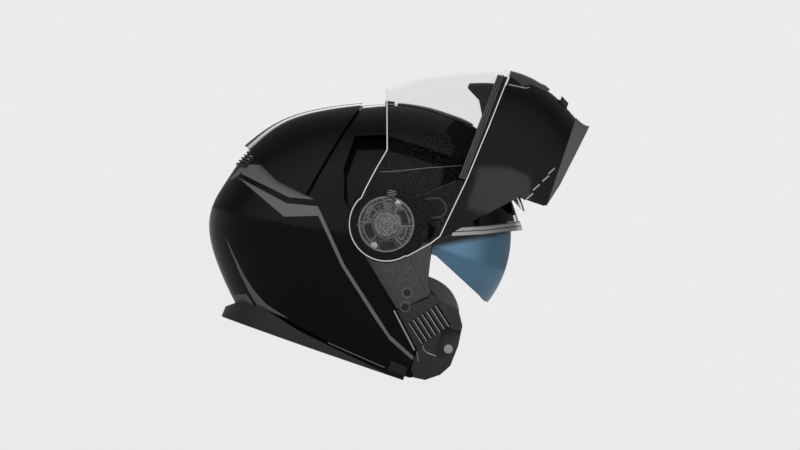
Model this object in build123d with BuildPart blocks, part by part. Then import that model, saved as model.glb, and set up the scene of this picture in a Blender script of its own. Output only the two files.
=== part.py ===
from build123d import *

import functools
import math
import os

# Modular motorcycle helmet with its chin bar raised, in millimetres.
# X points forward, Y to the wearer's left and Z up. The rim of the base lies on Z = 0,
# and the origin is on the rim's plane, straight below the axis of chin bar and visor.

# Helmet form: reaches from the pivot axis, and the widest section's height
front_reach = 171.0
rear_reach = 165.0
shell_half_width = 126.0
crown_height = 250.8
belt_height = 115.0
middle_setback = 10.0
pivot_height = 137.6

# Walls and gaps
shell_wall = 4.0
recess_depth = 10.0
chin_wall = 4.0
visor_wall = 3.0
arm_inset = 3.4
arm_wall = 3.9
cover_inset = 7.8
cover_wall = 2.0
foam_thickness = 30.0
lining_thickness = 6.0
soft_gap = 0.4
panel_gap = 1.2
slide_gap = 0.3
axle_clearance = 0.05
overrun = 20.0
trim_height = 4.0

# Pivot stack at each side, measured outward from the middle plane
pod_radius = 41.5
pod_face = 111.2
arm_end_radius = 34.0
arm_end_gap = 0.6
arm_end_thickness = 5.8
visor_end_radius = 35.0
visor_end_gap = 0.4
pivot_pin_radius = 5.0
pivot_head_radius = 8.0
pivot_head_thickness = 2.0
visor_pivot_x = -3.7
visor_pivot_z = 142.0
plate_radius = 26.6
plate_thickness = 3.2
hub_radius = 9.0
hub_cap_radius = 12.0
hub_cap_thickness = 2.4

# Jaw, with the recess where the latch hook grips its striker pin
jaw_cap_wall = 4.0
jaw_cap_inset = 32.0
jaw_top = 84.5
pocket_back = 78.0
pocket_low = 31.0
pocket_high = 61.0
pocket_floor = 76.0
pocket_floor_wall = 4.0
striker_x = 89.3
striker_z = 41.7
striker_radius = 3.0
striker_tip = 87.0
striker_head_radius = 4.2
striker_head_thickness = 1.4
snap_radius = 3.2
snap_height = 0.2
snap_places = [(35.1, 79.3), (37.7, 66.1)]
louvre_count = 7
louvre_pitch = 5.0
louvre_width = 1.8
louvre_length = 24.0
louvre_turn = 52.0
louvre_middle = (65.0, 58.5)

# Latch hook, release button and chin vent, measured with the chin bar shut
hook_pivot_x = 107.0
hook_pivot_z = 47.0
hook_pivot_radius = 2.5
hook_eye_radius = 6.0
hook_inner_y = 77.0
hook_thickness = 3.0
hook_mouth_gap = 0.4
hook_arm_height = 8.0
hook_tip_drop = 8.0
hook_tip_width = 4.0
button_width = 28.0
button_height = 8.0
button_level = 20.0
button_proud = 4.5
button_depth = 14.0
button_travel = 3.5

# Sun visor, a piece of a ball round its own axis
sun_pivot_x = 13.5
sun_pivot_z = 129.0
sun_reach = 103.0
sun_wall = 2.4
sun_pin_radius = 3.0
sun_pin_head_radius = 5.5
sun_pin_head_thickness = 1.5
sun_eye_radius = 9.0
sun_pocket_gap = 3.5
sun_sector_low = -45.0
sun_sector_high = 92.0

# Sun visor slider, in a slot at the shell's lower left edge
sun_slot_back = -14.0
sun_slot_front = 29.0
sun_slot_level = 14.5
sun_slot_height = 5.0
knob_length = 12.0
knob_height = 9.0
knob_rise = 4.0
knob_gap = 1.2
flange_wall = 1.6

# Rear lip at the nape
lip_height = 22.0
lip_reach = 124.0
lip_half_width = 111.0
lip_front = 163.0
lip_top_reach = 123.0
lip_top_half_width = 111.5
lip_top_front = 168.0

# Spoiler, vents and brow
spoiler_rise = 1.5
spoiler_reach = 9.0
grille_low = 141.0
grille_high = 157.0
grille_half_width = 46.0
grille_bar_count = 4
grille_slot_height = 1.8
grille_corner = 4.0
vent_rise = 1.4
slider_length = 9.0
slider_width = 18.0

# Chin strap
strap_width = 22.0
strap_thickness = 1.6
strap_x = 16.0
strap_anchor_height = 22.0
strap_floor = 3.0
strap_rivet_radius = 3.0
rivet_head_radius = 5.0
rivet_head_thickness = 1.5
buckle_length = 32.0
buckle_width = 26.0
buckle_height = 8.0
buckle_wall = 2.0
tongue_length = 30.0
tongue_thickness = 2.4
lever_length = 20.0
lever_thickness = 2.4
lever_pin_radius = 1.6

# Angles of the moving pieces
flip_angle = 90.0

# Sections of the helmet form from the base up, as shares of the crown height, of the two
# reaches, of the half width and of the setback of the widest place
level_shares = [-0.048, 0.02, 0.12, 0.215, 0.327, 0.4585, 0.578, 0.698, 0.805, 0.893, 0.957, 0.989]
front_shares = [0.865, 0.883, 0.959, 0.994, 0.993, 0.927, 0.848, 0.734, 0.617, 0.491, 0.363, 0.269]
rear_shares = [0.564, 0.63, 0.785, 0.909, 0.997, 0.991, 0.942, 0.842, 0.697, 0.485, 0.276, 0.115]
width_shares = [0.77, 0.833, 0.897, 0.944, 0.984, 1.0, 0.992, 0.929, 0.798, 0.627, 0.409, 0.23]
middle_shares = [-1, -1, -1, -1, -1, -1, -1, -0.8, -0.3, 0.3, 0.9, 1.4]
top_middle_share = 1.45

# Outlines seen from the side, as shares of the reach that a point lies towards and of the
# crown height
recess_shares = [
    (0.351, -0.08), (0.351, 0.124), (0.171, 0.242), (-0.113, 0.411), (-0.21, 0.47),
    (-0.21, 0.51), (-0.3, 0.57), (-0.36, 0.68), (-0.36, 0.81), (-0.2, 0.85), (0.058, 0.855),
    (0.269, 0.855), (0.497, 0.815),
    (0.655, 0.754), (0.877, 0.71), (1.17, 0.71), (1.17, -0.08),
]
face_shares = [
    (0.248, 0.534), (0.39, 0.62), (0.675, 0.713), (1.17, 0.868), (1.17, -0.08),
    (0.386, -0.08), (0.386, 0.002), (0.456, 0.027), (0.526, 0.064), (0.563, 0.108),
    (0.569, 0.189), (0.554, 0.266), (0.503, 0.319), (0.372, 0.331), (0.298, 0.371),
    (0.272, 0.451),
]
chin_shares = [
    (0.008, 0.358), (0.354, 0.331), (0.702, 0.315), (1.17, 0.299), (1.17, 0.019),
    (0.362, 0.019), (0.362, 0.124), (0.182, 0.242), (0.045, 0.326),
]
arm_shares = [
    (-0.145, 0.447), (0.012, 0.361), (0.1, 0.295), (0.327, 0.271), (0.339, 0.363),
    (0.175, 0.506), (0, 0.549),
]
visor_shares = [
    (0.029, 0.566), (-0.161, 0.453), (-0.045, 0.386), (0.011, 0.361), (0.354, 0.335),
    (0.702, 0.32), (1.17, 0.305), (1.17, 0.734), (0.695, 0.734), (0.595, 0.708),
    (0.368, 0.654), (0.244, 0.671), (0.131, 0.683), (0.06, 0.688),
]
plate_shares = [
    (-0.113, 0.411), (-0.05, 0.45), (0.244, 0.524), (0.272, 0.451), (0.298, 0.371), (0.327, 0.351),
    (0.319, 0.325), (0.182, 0.246),
]
louvre_shares = [
    (0.182, 0.242), (0.323, 0.321), (0.333, 0.347), (0.372, 0.331), (0.503, 0.319),
    (0.554, 0.266), (0.569, 0.189), (0.563, 0.108), (0.526, 0.064), (0.456, 0.027),
    (0.392, 0.022), (0.362, 0.05), (0.362, 0.124),
]
pad_shares = [
    (-0.182, 0.088), (-0.182, 0.387), (0.28, 0.403), (0.4, 0.392), (0.475, 0.357), (0.53, 0.3),
    (0.53, 0.2), (0.5, 0.136), (0.386, 0.088),
]
cheek_shares = [(-0.218, -0.08), (-0.218, 0.395), (0.76, 0.395), (0.76, -0.08)]
liner_shares = [(0.602, 0.064), (0.602, 0.287), (1.05, 0.287), (1.05, 0.064)]
brow_shares = [
    (0.25, 0.534), (0.39, 0.619), (0.675, 0.712), (0.83, 0.76), (0.83, 0.724), (0.692, 0.679),
    (0.5, 0.616), (0.333, 0.568), (0.255, 0.52),
]
lens_shares = [
    (0.029, 0.482), (0.292, 0.482), (0.584, 0.395), (0.62, 0.381), (0.789, 0.371),
    (0.789, 0.73), (0.468, 0.66), (0.292, 0.6), (0.246, 0.556), (0.029, 0.536),
]
cap_shares = [(0.24, 0.017), (0.243, 0.057), (0.342, 0.05), (0.342, 0.017)]
lip_shares = [
    (-0.788, 0.02), (-0.679, 0.078), (-0.552, 0.087), (-0.297, 0.048), (0.24, 0.004),
    (0.24, -0.08), (-0.788, -0.08),
]
skirt_shares = [(0.363, 0.019), (1.17, 0.019), (1.17, -0.036), (0.868, -0.041), (0.497, -0.004)]
spoiler_shares = [
    (-1.08, 0.65), (-0.93, 0.638), (-0.827, 0.594), (-0.697, 0.554), (-0.515, 0.538),
    (-0.49, 0.638), (-0.44, 0.797), (-0.375, 0.96), (-0.375, 1.08), (-1.08, 1.08),
]
guard_shares = [
    (0.678, 0.2882), (0.713, 0.351), (0.801, 0.387), (0.842, 0.443), (0.936, 0.443),
    (1.02, 0.399), (1.02, 0.2882),
]
seal_shares = [
    (0.351, 0.336), (0.351, 0.367), (0.643, 0.359), (0.912, 0.347), (1.02, 0.347),
    (1.02, 0.309), (0.702, 0.318),
]

pivot_axis = Axis((0, 0, pivot_height), (0, 1, 0))


def side_points(shares):
    """Places seen from the side, as (x, z)."""
    return [(x * (front_reach if x > 0 else rear_reach), z * crown_height) for x, z in shares]


@functools.lru_cache(maxsize=None)
def helmet_form(inset, rear_inset=None):
    """The egg-shaped body of the helmet, drawn in on all sides by an inset."""
    rear_inset = inset if rear_inset is None else rear_inset
    front_scale = 1 - inset / (front_reach + middle_setback)
    rear_scale = 1 - rear_inset / (rear_reach - middle_setback)
    width_scale = 1 - inset / shell_half_width
    height_scale = 1 - inset / (crown_height - belt_height)
    sections = []
    rows = zip(level_shares, front_shares, rear_shares, width_shares, middle_shares)
    for level_share, front_share, rear_share, width_share, middle_share in rows:
        level = level_share * crown_height
        if level > belt_height:
            level = belt_height + (level - belt_height) * height_scale
        middle = middle_share * middle_setback
        front = (front_share * front_reach - middle) * front_scale
        rear = (rear_share * rear_reach + middle) * rear_scale
        half_width = width_share * shell_half_width * width_scale
        with BuildSketch(Plane.XY.offset(level)) as section:
            with BuildLine():
                EllipticalCenterArc((middle, 0), front, half_width, start_angle=-90, arc_size=180)
                EllipticalCenterArc((middle, 0), rear, half_width, start_angle=90, arc_size=180)
            make_face()
        sections.append(section.sketch.faces()[0])
    top_height = belt_height + (crown_height - belt_height) * height_scale
    top = Vertex(top_middle_share * middle_setback, 0, top_height)
    with BuildPart() as form:
        loft(sections=[*sections, top])
    return form.part


def side_prism(points, grow=0):
    """A block right across the helmet with the outline of the given side points."""
    with BuildPart() as block:
        with BuildSketch(Plane.XZ):
            with BuildLine():
                Polyline(*points, close=True)
            make_face()
            if grow:
                offset(amount=grow, kind=Kind.INTERSECTION)
        extrude(amount=shell_half_width + overrun, both=True)
    return block.part


def slab(low, high):
    """A block over the whole helmet between two heights."""
    with BuildPart() as block:
        with BuildSketch(Plane.XY.offset(low)):
            Rectangle(4 * rear_reach, 4 * shell_half_width)
        extrude(amount=high - low)
    return block.part


def pivot_disc(radius, inner_y, outer_y, place=(0, pivot_height)):
    """Round discs about a side place between two distances from the middle plane."""
    with BuildPart() as disc:
        for side in (-1, 1):
            with BuildSketch(Plane.XZ.offset(-side * inner_y)):
                with Locations(place):
                    Circle(radius)
            extrude(amount=-side * (outer_y - inner_y))
    return disc.part


def layer(outer_inset, inner_inset, *regions):
    """A curved wall between two insets of the helmet form, kept inside the regions."""
    with BuildPart() as wall:
        add(helmet_form(outer_inset))
        for region in regions:
            add(region, mode=Mode.INTERSECT)
        add(helmet_form(inner_inset), mode=Mode.SUBTRACT)
    return wall.part


def one_side(whole, side):
    """The pieces of a part that lie on one side: -1 for the right, 1 for the left."""
    with BuildPart() as half:
        add(whole.solids().filter_by(lambda solid: solid.center().Y * side > 0))
    return half.part


def raised(closed):
    """Turns a piece modelled with the chin bar shut to its raised place."""
    return closed.rotate(pivot_axis, -flip_angle)


def save(part, label):
    part.label = label
    export_step(part, f"parts/{label}.step")


os.makedirs("parts", exist_ok=True)

# Heights of the pivot stack's faces
arm_end_inner = pod_face + arm_end_gap
arm_end_outer = arm_end_inner + arm_end_thickness
visor_end_inner = arm_end_outer + visor_end_gap
visor_end_outer = visor_end_inner + visor_wall

# The visor's own pivot, with the chin bar shut and with it raised
visor_place = (visor_pivot_x, visor_pivot_z)
plate_place = (pivot_height - visor_pivot_z, pivot_height + visor_pivot_x)
widest = shell_half_width + overrun


def front_recess(depth, grow):
    """What is cut off a form in front, so that chin bar and visor have room."""
    with BuildPart() as cutter:
        add(side_prism(side_points(recess_shares), grow))
        add(helmet_form(depth), mode=Mode.SUBTRACT)
    return cutter.part


def shell_space(inset):
    """The helmet form with the front recess and the round pods at the pivots."""
    with BuildPart() as space:
        add(helmet_form(inset))
        add(front_recess(recess_depth + inset, inset), mode=Mode.SUBTRACT)
        add(pivot_disc(pod_radius + inset, pod_face - inset, widest), mode=Mode.SUBTRACT)
    return space.part


# Outer shell
foam_inset = recess_depth + shell_wall + foam_thickness
face_cut = side_prism(side_points(face_shares))
jaw_block = slab(-overrun, jaw_top)


def jaw_front(depth):
    """The front rim of both jaws, as deep as given, behind the face opening."""
    with BuildPart() as rim:
        add(side_prism(side_points(face_shares), depth))
        add(jaw_block, mode=Mode.INTERSECT)
    return rim.part


def side_blocks(low_x, high_x, low_z, high_z, inner_y, outer_y):
    """Two square blocks, one at each side of the helmet."""
    with BuildPart() as blocks:
        for side in (-1, 1):
            with BuildSketch(Plane.XZ.offset(-side * inner_y)):
                with Locations(((low_x + high_x) / 2, (low_z + high_z) / 2)):
                    Rectangle(high_x - low_x, high_z - low_z)
            extrude(amount=-side * (outer_y - inner_y))
    return blocks.part


def latch_pocket(gap):
    """The space at the front of each jaw that the latch hook reaches into."""
    return side_blocks(
        pocket_back - gap, front_reach, pocket_low - gap, pocket_high + gap,
        pocket_floor - gap, widest,
    )


def side_rods(places, radius, inner_y, outer_y):
    """Round rods across each side at given (x, z) places."""
    with BuildPart() as rods:
        for side in (-1, 1):
            with BuildSketch(Plane.XZ.offset(-side * inner_y)):
                with Locations(*places):
                    Circle(radius)
            extrude(amount=-side * (outer_y - inner_y))
    return rods.part


pivot_place = [(0, pivot_height)]
rim_cut = jaw_front(jaw_cap_wall + slide_gap)
with BuildPart() as outer_shell:
    add(shell_space(0))
    add(shell_space(shell_wall), mode=Mode.SUBTRACT)
    add(face_cut, mode=Mode.SUBTRACT)
    add(rim_cut, mode=Mode.SUBTRACT)
    add(slab(-widest, trim_height), mode=Mode.SUBTRACT)
    add(latch_pocket(0), mode=Mode.SUBTRACT)
    add(side_rods(pivot_place, pivot_pin_radius, foam_inset, widest), mode=Mode.SUBTRACT)
    with BuildSketch(Plane.XZ):
        with Locations(((sun_slot_back + sun_slot_front) / 2, sun_slot_level)):
            SlotOverall(sun_slot_front - sun_slot_back, sun_slot_height)
    extrude(amount=-widest, mode=Mode.SUBTRACT)
save(outer_shell.part, "outer_shell")

# Shock liner of the crown, with the pocket that the sun visor slides up into


def sun_body(shrink):
    """The ball round the sun visor's axis, drawn in by a length."""
    reach = sun_reach - shrink
    with BuildPart() as body:
        with BuildSketch(Plane.XY.offset(sun_pivot_z)):
            with BuildLine():
                CenterArc((sun_pivot_x, 0), reach, 90, 180)
                Line((sun_pivot_x, -reach), (sun_pivot_x, reach))
            make_face()
        revolve(axis=Axis((sun_pivot_x, 0, sun_pivot_z), (0, 1, 0)))
    return body.part


def sun_pocket():
    """The room that the sun visor needs between liner and shell, from shut to raised."""
    radius = rear_reach
    low = math.radians(sun_sector_low)
    high = math.radians(sun_sector_high)
    corner = radius / math.cos((high - low) / 2)
    middle = (high + low) / 2
    start = (sun_pivot_x, sun_pivot_z)
    points = [
        start,
        (sun_pivot_x + radius * math.cos(low), sun_pivot_z + radius * math.sin(low)),
        (sun_pivot_x + corner * math.cos(middle), sun_pivot_z + corner * math.sin(middle)),
        (sun_pivot_x + radius * math.cos(high), sun_pivot_z + radius * math.sin(high)),
    ]
    with BuildPart() as pocket:
        add(side_prism(points))
        add(sun_body(sun_wall + sun_pocket_gap), mode=Mode.SUBTRACT)
        add(side_rods([start], sun_eye_radius + sun_pocket_gap, sun_reach - 4 * sun_pocket_gap, widest))
    return pocket.part


foam_space = shell_space(shell_wall + soft_gap)
cheek_region = side_prism(side_points(cheek_shares))
foam_floor = strap_anchor_height + rivet_head_radius + soft_gap
with BuildPart() as foam:
    add(foam_space)
    add(helmet_form(foam_inset), mode=Mode.SUBTRACT)
    add(slab(-widest, foam_floor), mode=Mode.SUBTRACT)
    add(side_prism(side_points(face_shares), jaw_cap_wall + soft_gap), mode=Mode.SUBTRACT)
    add(side_rods(pivot_place, pivot_head_radius, foam_thickness, widest), mode=Mode.SUBTRACT)
with BuildPart() as crown_foam:
    add(foam.part)
    add(side_prism(side_points(cheek_shares), soft_gap), mode=Mode.SUBTRACT)
    add(sun_pocket(), mode=Mode.SUBTRACT)
save(crown_foam.part, "crown_foam")
with BuildPart() as cheek_foam:
    add(foam.part)
    add(cheek_region, mode=Mode.INTERSECT)
    add(latch_pocket(pocket_floor_wall + soft_gap), mode=Mode.SUBTRACT)
save(one_side(cheek_foam.part, -1), "cheek_foam_right")
save(one_side(cheek_foam.part, 1), "cheek_foam_left")

# Comfort lining, cheek pads and neck roll
lining_inset = foam_inset + soft_gap
channel_count = 5
channel_pitch = 26.0
channel_width = 2.4
channel_depth = 2.0
with BuildPart() as lining_channels:
    with BuildSketch(Plane.XY.offset(belt_height)):
        with GridLocations(0, channel_pitch, 1, channel_count):
            Rectangle(2 * rear_reach, channel_width)
    extrude(amount=crown_height)
    add(helmet_form(lining_inset + lining_thickness - channel_depth), mode=Mode.INTERSECT)
with BuildPart() as comfort_liner:
    add(layer(lining_inset, lining_inset + lining_thickness))
    add(side_prism(side_points(face_shares), lining_thickness), mode=Mode.SUBTRACT)
    add(slab(-widest, cheek_shares[1][1] * crown_height + lining_thickness), mode=Mode.SUBTRACT)
    add(lining_channels.part, mode=Mode.SUBTRACT)
save(comfort_liner.part, "comfort_liner")
pad_thickness = 18.0
pad_taper = 14.0
seam_margin = 12.0
seam_width = 2.5
seam_depth = 2.5
with BuildPart() as pad_block:
    for side in (-1, 1):
        with BuildSketch(Plane.XZ.offset(-side * (shell_half_width - lining_inset))):
            with BuildLine():
                Polyline(*side_points(pad_shares), close=True)
            make_face()
        extrude(amount=side * 2 * pad_thickness, taper=pad_taper)
with BuildPart() as pad_seams:
    add(side_prism(side_points(pad_shares), -seam_margin))
    add(side_prism(side_points(pad_shares), -seam_margin - seam_width), mode=Mode.SUBTRACT)
    add(helmet_form(lining_inset + pad_thickness - seam_depth), mode=Mode.INTERSECT)
with BuildPart() as cheek_pads:
    add(layer(lining_inset, lining_inset + pad_thickness, pad_block.part))
    add(pad_seams.part, mode=Mode.SUBTRACT)
save(one_side(cheek_pads.part, -1), "cheek_pad_right")
save(one_side(cheek_pads.part, 1), "cheek_pad_left")
neck_roll_depth = 26.0
neck_roll_front = -12.0
trim_lip = 2.2
trim_lip_height = 6.0
roll_inset = shell_wall + soft_gap + trim_lip + soft_gap
neck_region = side_blocks(-2 * rear_reach, neck_roll_front, trim_height + soft_gap,
                          foam_floor - soft_gap, 0, widest)
neck_roll = layer(roll_inset, roll_inset + neck_roll_depth, neck_region)
save(neck_roll, "neck_roll")

# Rubber edging round the base, and its two end caps
trim_proud = 0.8
trim_depth = 9.0
trim_end = cap_shares[2][0] * front_reach
trim_region = side_blocks(-2 * rear_reach, trim_end, 0, trim_height, 0, widest)
lip_region = side_blocks(-2 * rear_reach, trim_end - shell_wall, trim_height,
                         trim_height + trim_lip_height, 0, widest)
with BuildPart() as base_trim:
    add(layer(-trim_proud, trim_depth, trim_region))
    add(layer(shell_wall + slide_gap / 2, shell_wall + trim_lip, lip_region))
save(base_trim.part, "base_trim")
end_caps = layer(-2 * trim_proud, -slide_gap, side_prism(side_points(cap_shares)))
save(one_side(end_caps, -1), "trim_cap_right")
save(one_side(end_caps, 1), "trim_cap_left")

# Brow trim along the top of the face opening
brow_proud = 1.4
brow_depth = 5.2
with BuildPart() as brow_trim:
    add(layer(recess_depth - brow_proud, recess_depth + brow_depth,
              side_prism(side_points(brow_shares))))
    add(pivot_disc(pod_radius + shell_wall + slide_gap, 0, widest), mode=Mode.SUBTRACT)
save(brow_trim.part, "brow_trim")

# Rear spoiler, exhaust grille under it and lip at the nape
with BuildPart() as rear_spoiler:
    add(helmet_form(-spoiler_rise, -spoiler_reach))
    add(helmet_form(-slide_gap), mode=Mode.SUBTRACT)
    add(side_prism(side_points(spoiler_shares)), mode=Mode.INTERSECT)
save(rear_spoiler.part, "rear_spoiler")

with BuildPart() as grille_block:
    with BuildSketch(Plane.YZ):
        with Locations((0, (grille_low + grille_high) / 2)):
            RectangleRounded(2 * grille_half_width, grille_high - grille_low, grille_corner)
        slot_pitch = (grille_high - grille_low) / (grille_bar_count + 1)
        with Locations((0, (grille_low + grille_high) / 2)):
            with GridLocations(0, slot_pitch, 1, grille_bar_count):
                SlotOverall(2 * grille_half_width - slot_pitch * 2, grille_slot_height,
                            mode=Mode.SUBTRACT)
    extrude(amount=-2 * rear_reach)
with BuildPart() as exhaust_grille:
    add(layer(-2 * trim_proud, -slide_gap, grille_block.part))
    add(side_prism(side_points(spoiler_shares), soft_gap), mode=Mode.SUBTRACT)
save(exhaust_grille.part, "exhaust_grille")


def egg_outline(front, rear, half_width):
    """Two half ellipses that meet at the widest place of the base, as a closed outline."""
    EllipticalCenterArc((-middle_setback, 0), front, half_width, start_angle=-90, arc_size=180)
    EllipticalCenterArc((-middle_setback, 0), rear, half_width, start_angle=90, arc_size=180)


with BuildPart() as rear_lip:
    with BuildSketch(Plane.XY.offset(slide_gap)):
        with BuildLine():
            egg_outline(lip_front, lip_reach - middle_setback, lip_half_width)
        make_face()
    with BuildSketch(Plane.XY.offset(lip_height)):
        with BuildLine():
            egg_outline(lip_top_front, lip_top_reach - middle_setback, lip_top_half_width)
        make_face()
    loft()
    add(helmet_form(-trim_proud - slide_gap), mode=Mode.SUBTRACT)
    add(side_prism(side_points(lip_shares)), mode=Mode.INTERSECT)
save(rear_lip.part, "rear_lip")

# Crown vent with its slider
vent_outline_shares = [
    (-0.19, 0.1), (0.1, 0.2), (0.25, 0.17), (0.25, -0.17), (0.1, -0.2), (-0.19, -0.1),
]
slider_middle = -38.0
slider_low = 241.0
slider_tilt = 12.0
slider_rise = 4.6
with BuildPart() as vent_block:
    with BuildSketch(Plane.XY.offset(pivot_height)):
        with BuildLine():
            Polyline(*[(x * (front_reach if x > 0 else rear_reach), y * shell_half_width)
                       for x, y in vent_outline_shares], close=True)
        make_face()
    extrude(amount=crown_height)
crown_vent = layer(-vent_rise, -slide_gap, vent_block.part)
save(crown_vent, "crown_vent")
slider_turn = math.radians(slider_tilt)
slider_plane = Plane((slider_middle, 0, slider_low),
                     x_dir=(math.cos(slider_turn), 0, math.sin(slider_turn)),
                     z_dir=(-math.sin(slider_turn), 0, math.cos(slider_turn)))
with BuildPart() as crown_slider:
    with BuildSketch(slider_plane):
        RectangleRounded(slider_length, slider_width, slider_length / 4)
    extrude(amount=slider_rise, both=True)
    add(helmet_form(-2 * slide_gap), mode=Mode.SUBTRACT)
save(crown_slider.part, "crown_vent_slider")

# Jaw covers: a grained plate above, and below it a louvred cover that wraps the jaw's front
pod_clear = pivot_disc(arm_end_radius + panel_gap, foam_inset, widest)
visor_clear = pivot_disc(pod_radius, visor_end_inner - slide_gap, widest)
visor_rim = pivot_disc(visor_end_radius + panel_gap, foam_inset, widest, plate_place)
snap_bore = side_rods(snap_places, snap_radius, foam_inset, widest)
with BuildPart() as jaw_plates:
    add(layer(cover_inset, cover_inset + cover_wall, side_prism(side_points(plate_shares))))
    add(pod_clear, mode=Mode.SUBTRACT)
    add(visor_clear, mode=Mode.SUBTRACT)
    add(visor_rim, mode=Mode.SUBTRACT)
    add(snap_bore, mode=Mode.SUBTRACT)
save(one_side(jaw_plates.part, -1), "jaw_plate_right")
save(one_side(jaw_plates.part, 1), "jaw_plate_left")

with BuildPart() as louvre_slots:
    with BuildSketch(Plane.XZ):
        with Locations(Location((*louvre_middle, 0), (0, 0, louvre_turn))):
            with GridLocations(louvre_pitch, 0, louvre_count, 1):
                SlotOverall(louvre_length, louvre_width, rotation=90)
    extrude(amount=widest, both=True)
louvre_region = side_prism(side_points(louvre_shares))
with BuildPart() as cap_block:
    add(louvre_region)
    add(jaw_front(jaw_cap_wall), mode=Mode.INTERSECT)
with BuildPart() as jaw_covers:
    add(layer(cover_inset, cover_inset + cover_wall, louvre_region))
    add(louvre_slots.part, mode=Mode.SUBTRACT)
    add(layer(cover_inset, jaw_cap_inset, cap_block.part))
    add(snap_bore, mode=Mode.SUBTRACT)
    add(latch_pocket(0), mode=Mode.SUBTRACT)
with BuildPart() as pocket_floors:
    add(side_blocks(pocket_back, front_reach, pocket_low, pocket_high,
                    pocket_floor - pocket_floor_wall, pocket_floor))
    add(louvre_region, mode=Mode.INTERSECT)
    add(side_rods([(striker_x, striker_z)], striker_radius, 0, widest), mode=Mode.SUBTRACT)
with BuildPart() as jaw_louvres:
    add(jaw_covers.part)
    add(pocket_floors.part)
save(one_side(jaw_louvres.part, -1), "jaw_cover_right")
save(one_side(jaw_louvres.part, 1), "jaw_cover_left")

with BuildPart() as strikers:
    add(side_rods([(striker_x, striker_z)], striker_radius, pocket_floor - pocket_floor_wall,
                  striker_tip))
    add(side_rods([(striker_x, striker_z)], striker_head_radius,
                  striker_tip - striker_head_thickness, striker_tip))
save(one_side(strikers.part, -1), "striker_pin_right")
save(one_side(strikers.part, 1), "striker_pin_left")

with BuildPart() as jaw_snaps:
    add(side_rods(snap_places, snap_radius, foam_inset, widest))
    add(helmet_form(cover_inset - snap_height), mode=Mode.INTERSECT)
    add(helmet_form(cover_inset + cover_wall), mode=Mode.SUBTRACT)
save(jaw_snaps.part, "jaw_snaps")

# Pivot pins: the axle of chin bar and visor at each side
pin_inner = pod_face - shell_wall
plate_inner = arm_end_outer - plate_thickness
with BuildPart() as pivot_pins:
    add(side_rods(pivot_place, pivot_pin_radius, pin_inner, plate_inner))
    add(side_rods(pivot_place, pivot_head_radius, plate_inner, plate_inner + pivot_head_thickness))
save(one_side(pivot_pins.part, -1), "pivot_pin_right")
save(one_side(pivot_pins.part, 1), "pivot_pin_left")

# Chin bar: front wall, thin arms under the visor and flat round ends at the pivots
plate_gap = 0.3
screw_offset_x = 4.3
screw_offset_z = 22.6
screw_places = [
    (plate_place[0] + screw_offset_x, plate_place[1] + screw_offset_z),
    (plate_place[0] - screw_offset_x, plate_place[1] - screw_offset_z),
]
screw_radius = 2.3


def shut_places(places):
    """Where places given with the chin bar raised lie when it is shut."""
    turn = math.radians(-flip_angle)
    return [
        (x * math.cos(turn) - (z - pivot_height) * math.sin(turn),
         x * math.sin(turn) + (z - pivot_height) * math.cos(turn) + pivot_height)
        for x, z in places
    ]


with BuildPart() as arms:
    add(layer(arm_inset, arm_inset + arm_wall, side_prism(side_points(arm_shares))))
    add(pivot_disc(pod_radius, arm_end_outer, widest), mode=Mode.SUBTRACT)
    add(pivot_disc(pod_radius, 0, arm_end_inner), mode=Mode.SUBTRACT)
    add(pivot_disc(arm_end_radius, arm_end_inner, arm_end_outer))
    add(pivot_disc(plate_radius + plate_gap, plate_inner, widest, visor_place), mode=Mode.SUBTRACT)
    add(side_rods(pivot_place, pivot_pin_radius + axle_clearance, 0, widest), mode=Mode.SUBTRACT)
    add(side_rods(shut_places(screw_places), screw_radius, 0, widest), mode=Mode.SUBTRACT)
button_window = button_height + 2 * slide_gap
with BuildPart() as button_hole:
    with BuildSketch(Plane.YZ.offset(pivot_height)):
        with Locations((0, button_level)):
            RectangleRounded(button_width + 2 * slide_gap, button_window, button_window / 4)
    extrude(amount=front_reach)
with BuildPart() as chin_bar:
    add(layer(0, chin_wall, side_prism(side_points(chin_shares))))
    add(arms.part)
    add(button_hole.part, mode=Mode.SUBTRACT)
save(raised(chin_bar.part), "chin_bar")

# Foam liner inside the chin bar
liner_depth = 18.0
hook_room = side_blocks(striker_x, hook_pivot_x + 2 * hook_eye_radius, pocket_low, pocket_high,
                        hook_inner_y - 2 * hook_thickness, widest)
with BuildPart() as chin_liner:
    add(layer(chin_wall + soft_gap, chin_wall + liner_depth, side_prism(side_points(liner_shares))))
    add(hook_room, mode=Mode.SUBTRACT)
    with BuildSketch(Plane.YZ.offset(front_reach - chin_wall - button_depth - 2 * button_travel)):
        with Locations((0, button_level)):
            Rectangle(button_width + 4 * slide_gap, button_height + 4 * slide_gap)
    extrude(amount=front_reach, mode=Mode.SUBTRACT)
save(raised(chin_liner.part), "chin_liner")

# Rubber skirt below the chin bar
skirt_proud = 0.2
chin_skirt = layer(skirt_proud, chin_wall - slide_gap, side_prism(side_points(skirt_shares)))
save(raised(chin_skirt), "chin_skirt")

# Visor seal with three ribs, standing behind the visor's lower edge
seal_wall = 2.4
visor_seal = layer(chin_wall + slide_gap, chin_wall + seal_wall, side_prism(side_points(seal_shares)))
save(raised(visor_seal), "visor_seal")

# Breath guard
guard_inset = 12.5
guard_wall = 3.0
breath_guard = layer(guard_inset, guard_inset + guard_wall, side_prism(side_points(guard_shares)))
save(raised(breath_guard), "breath_guard")

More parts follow.
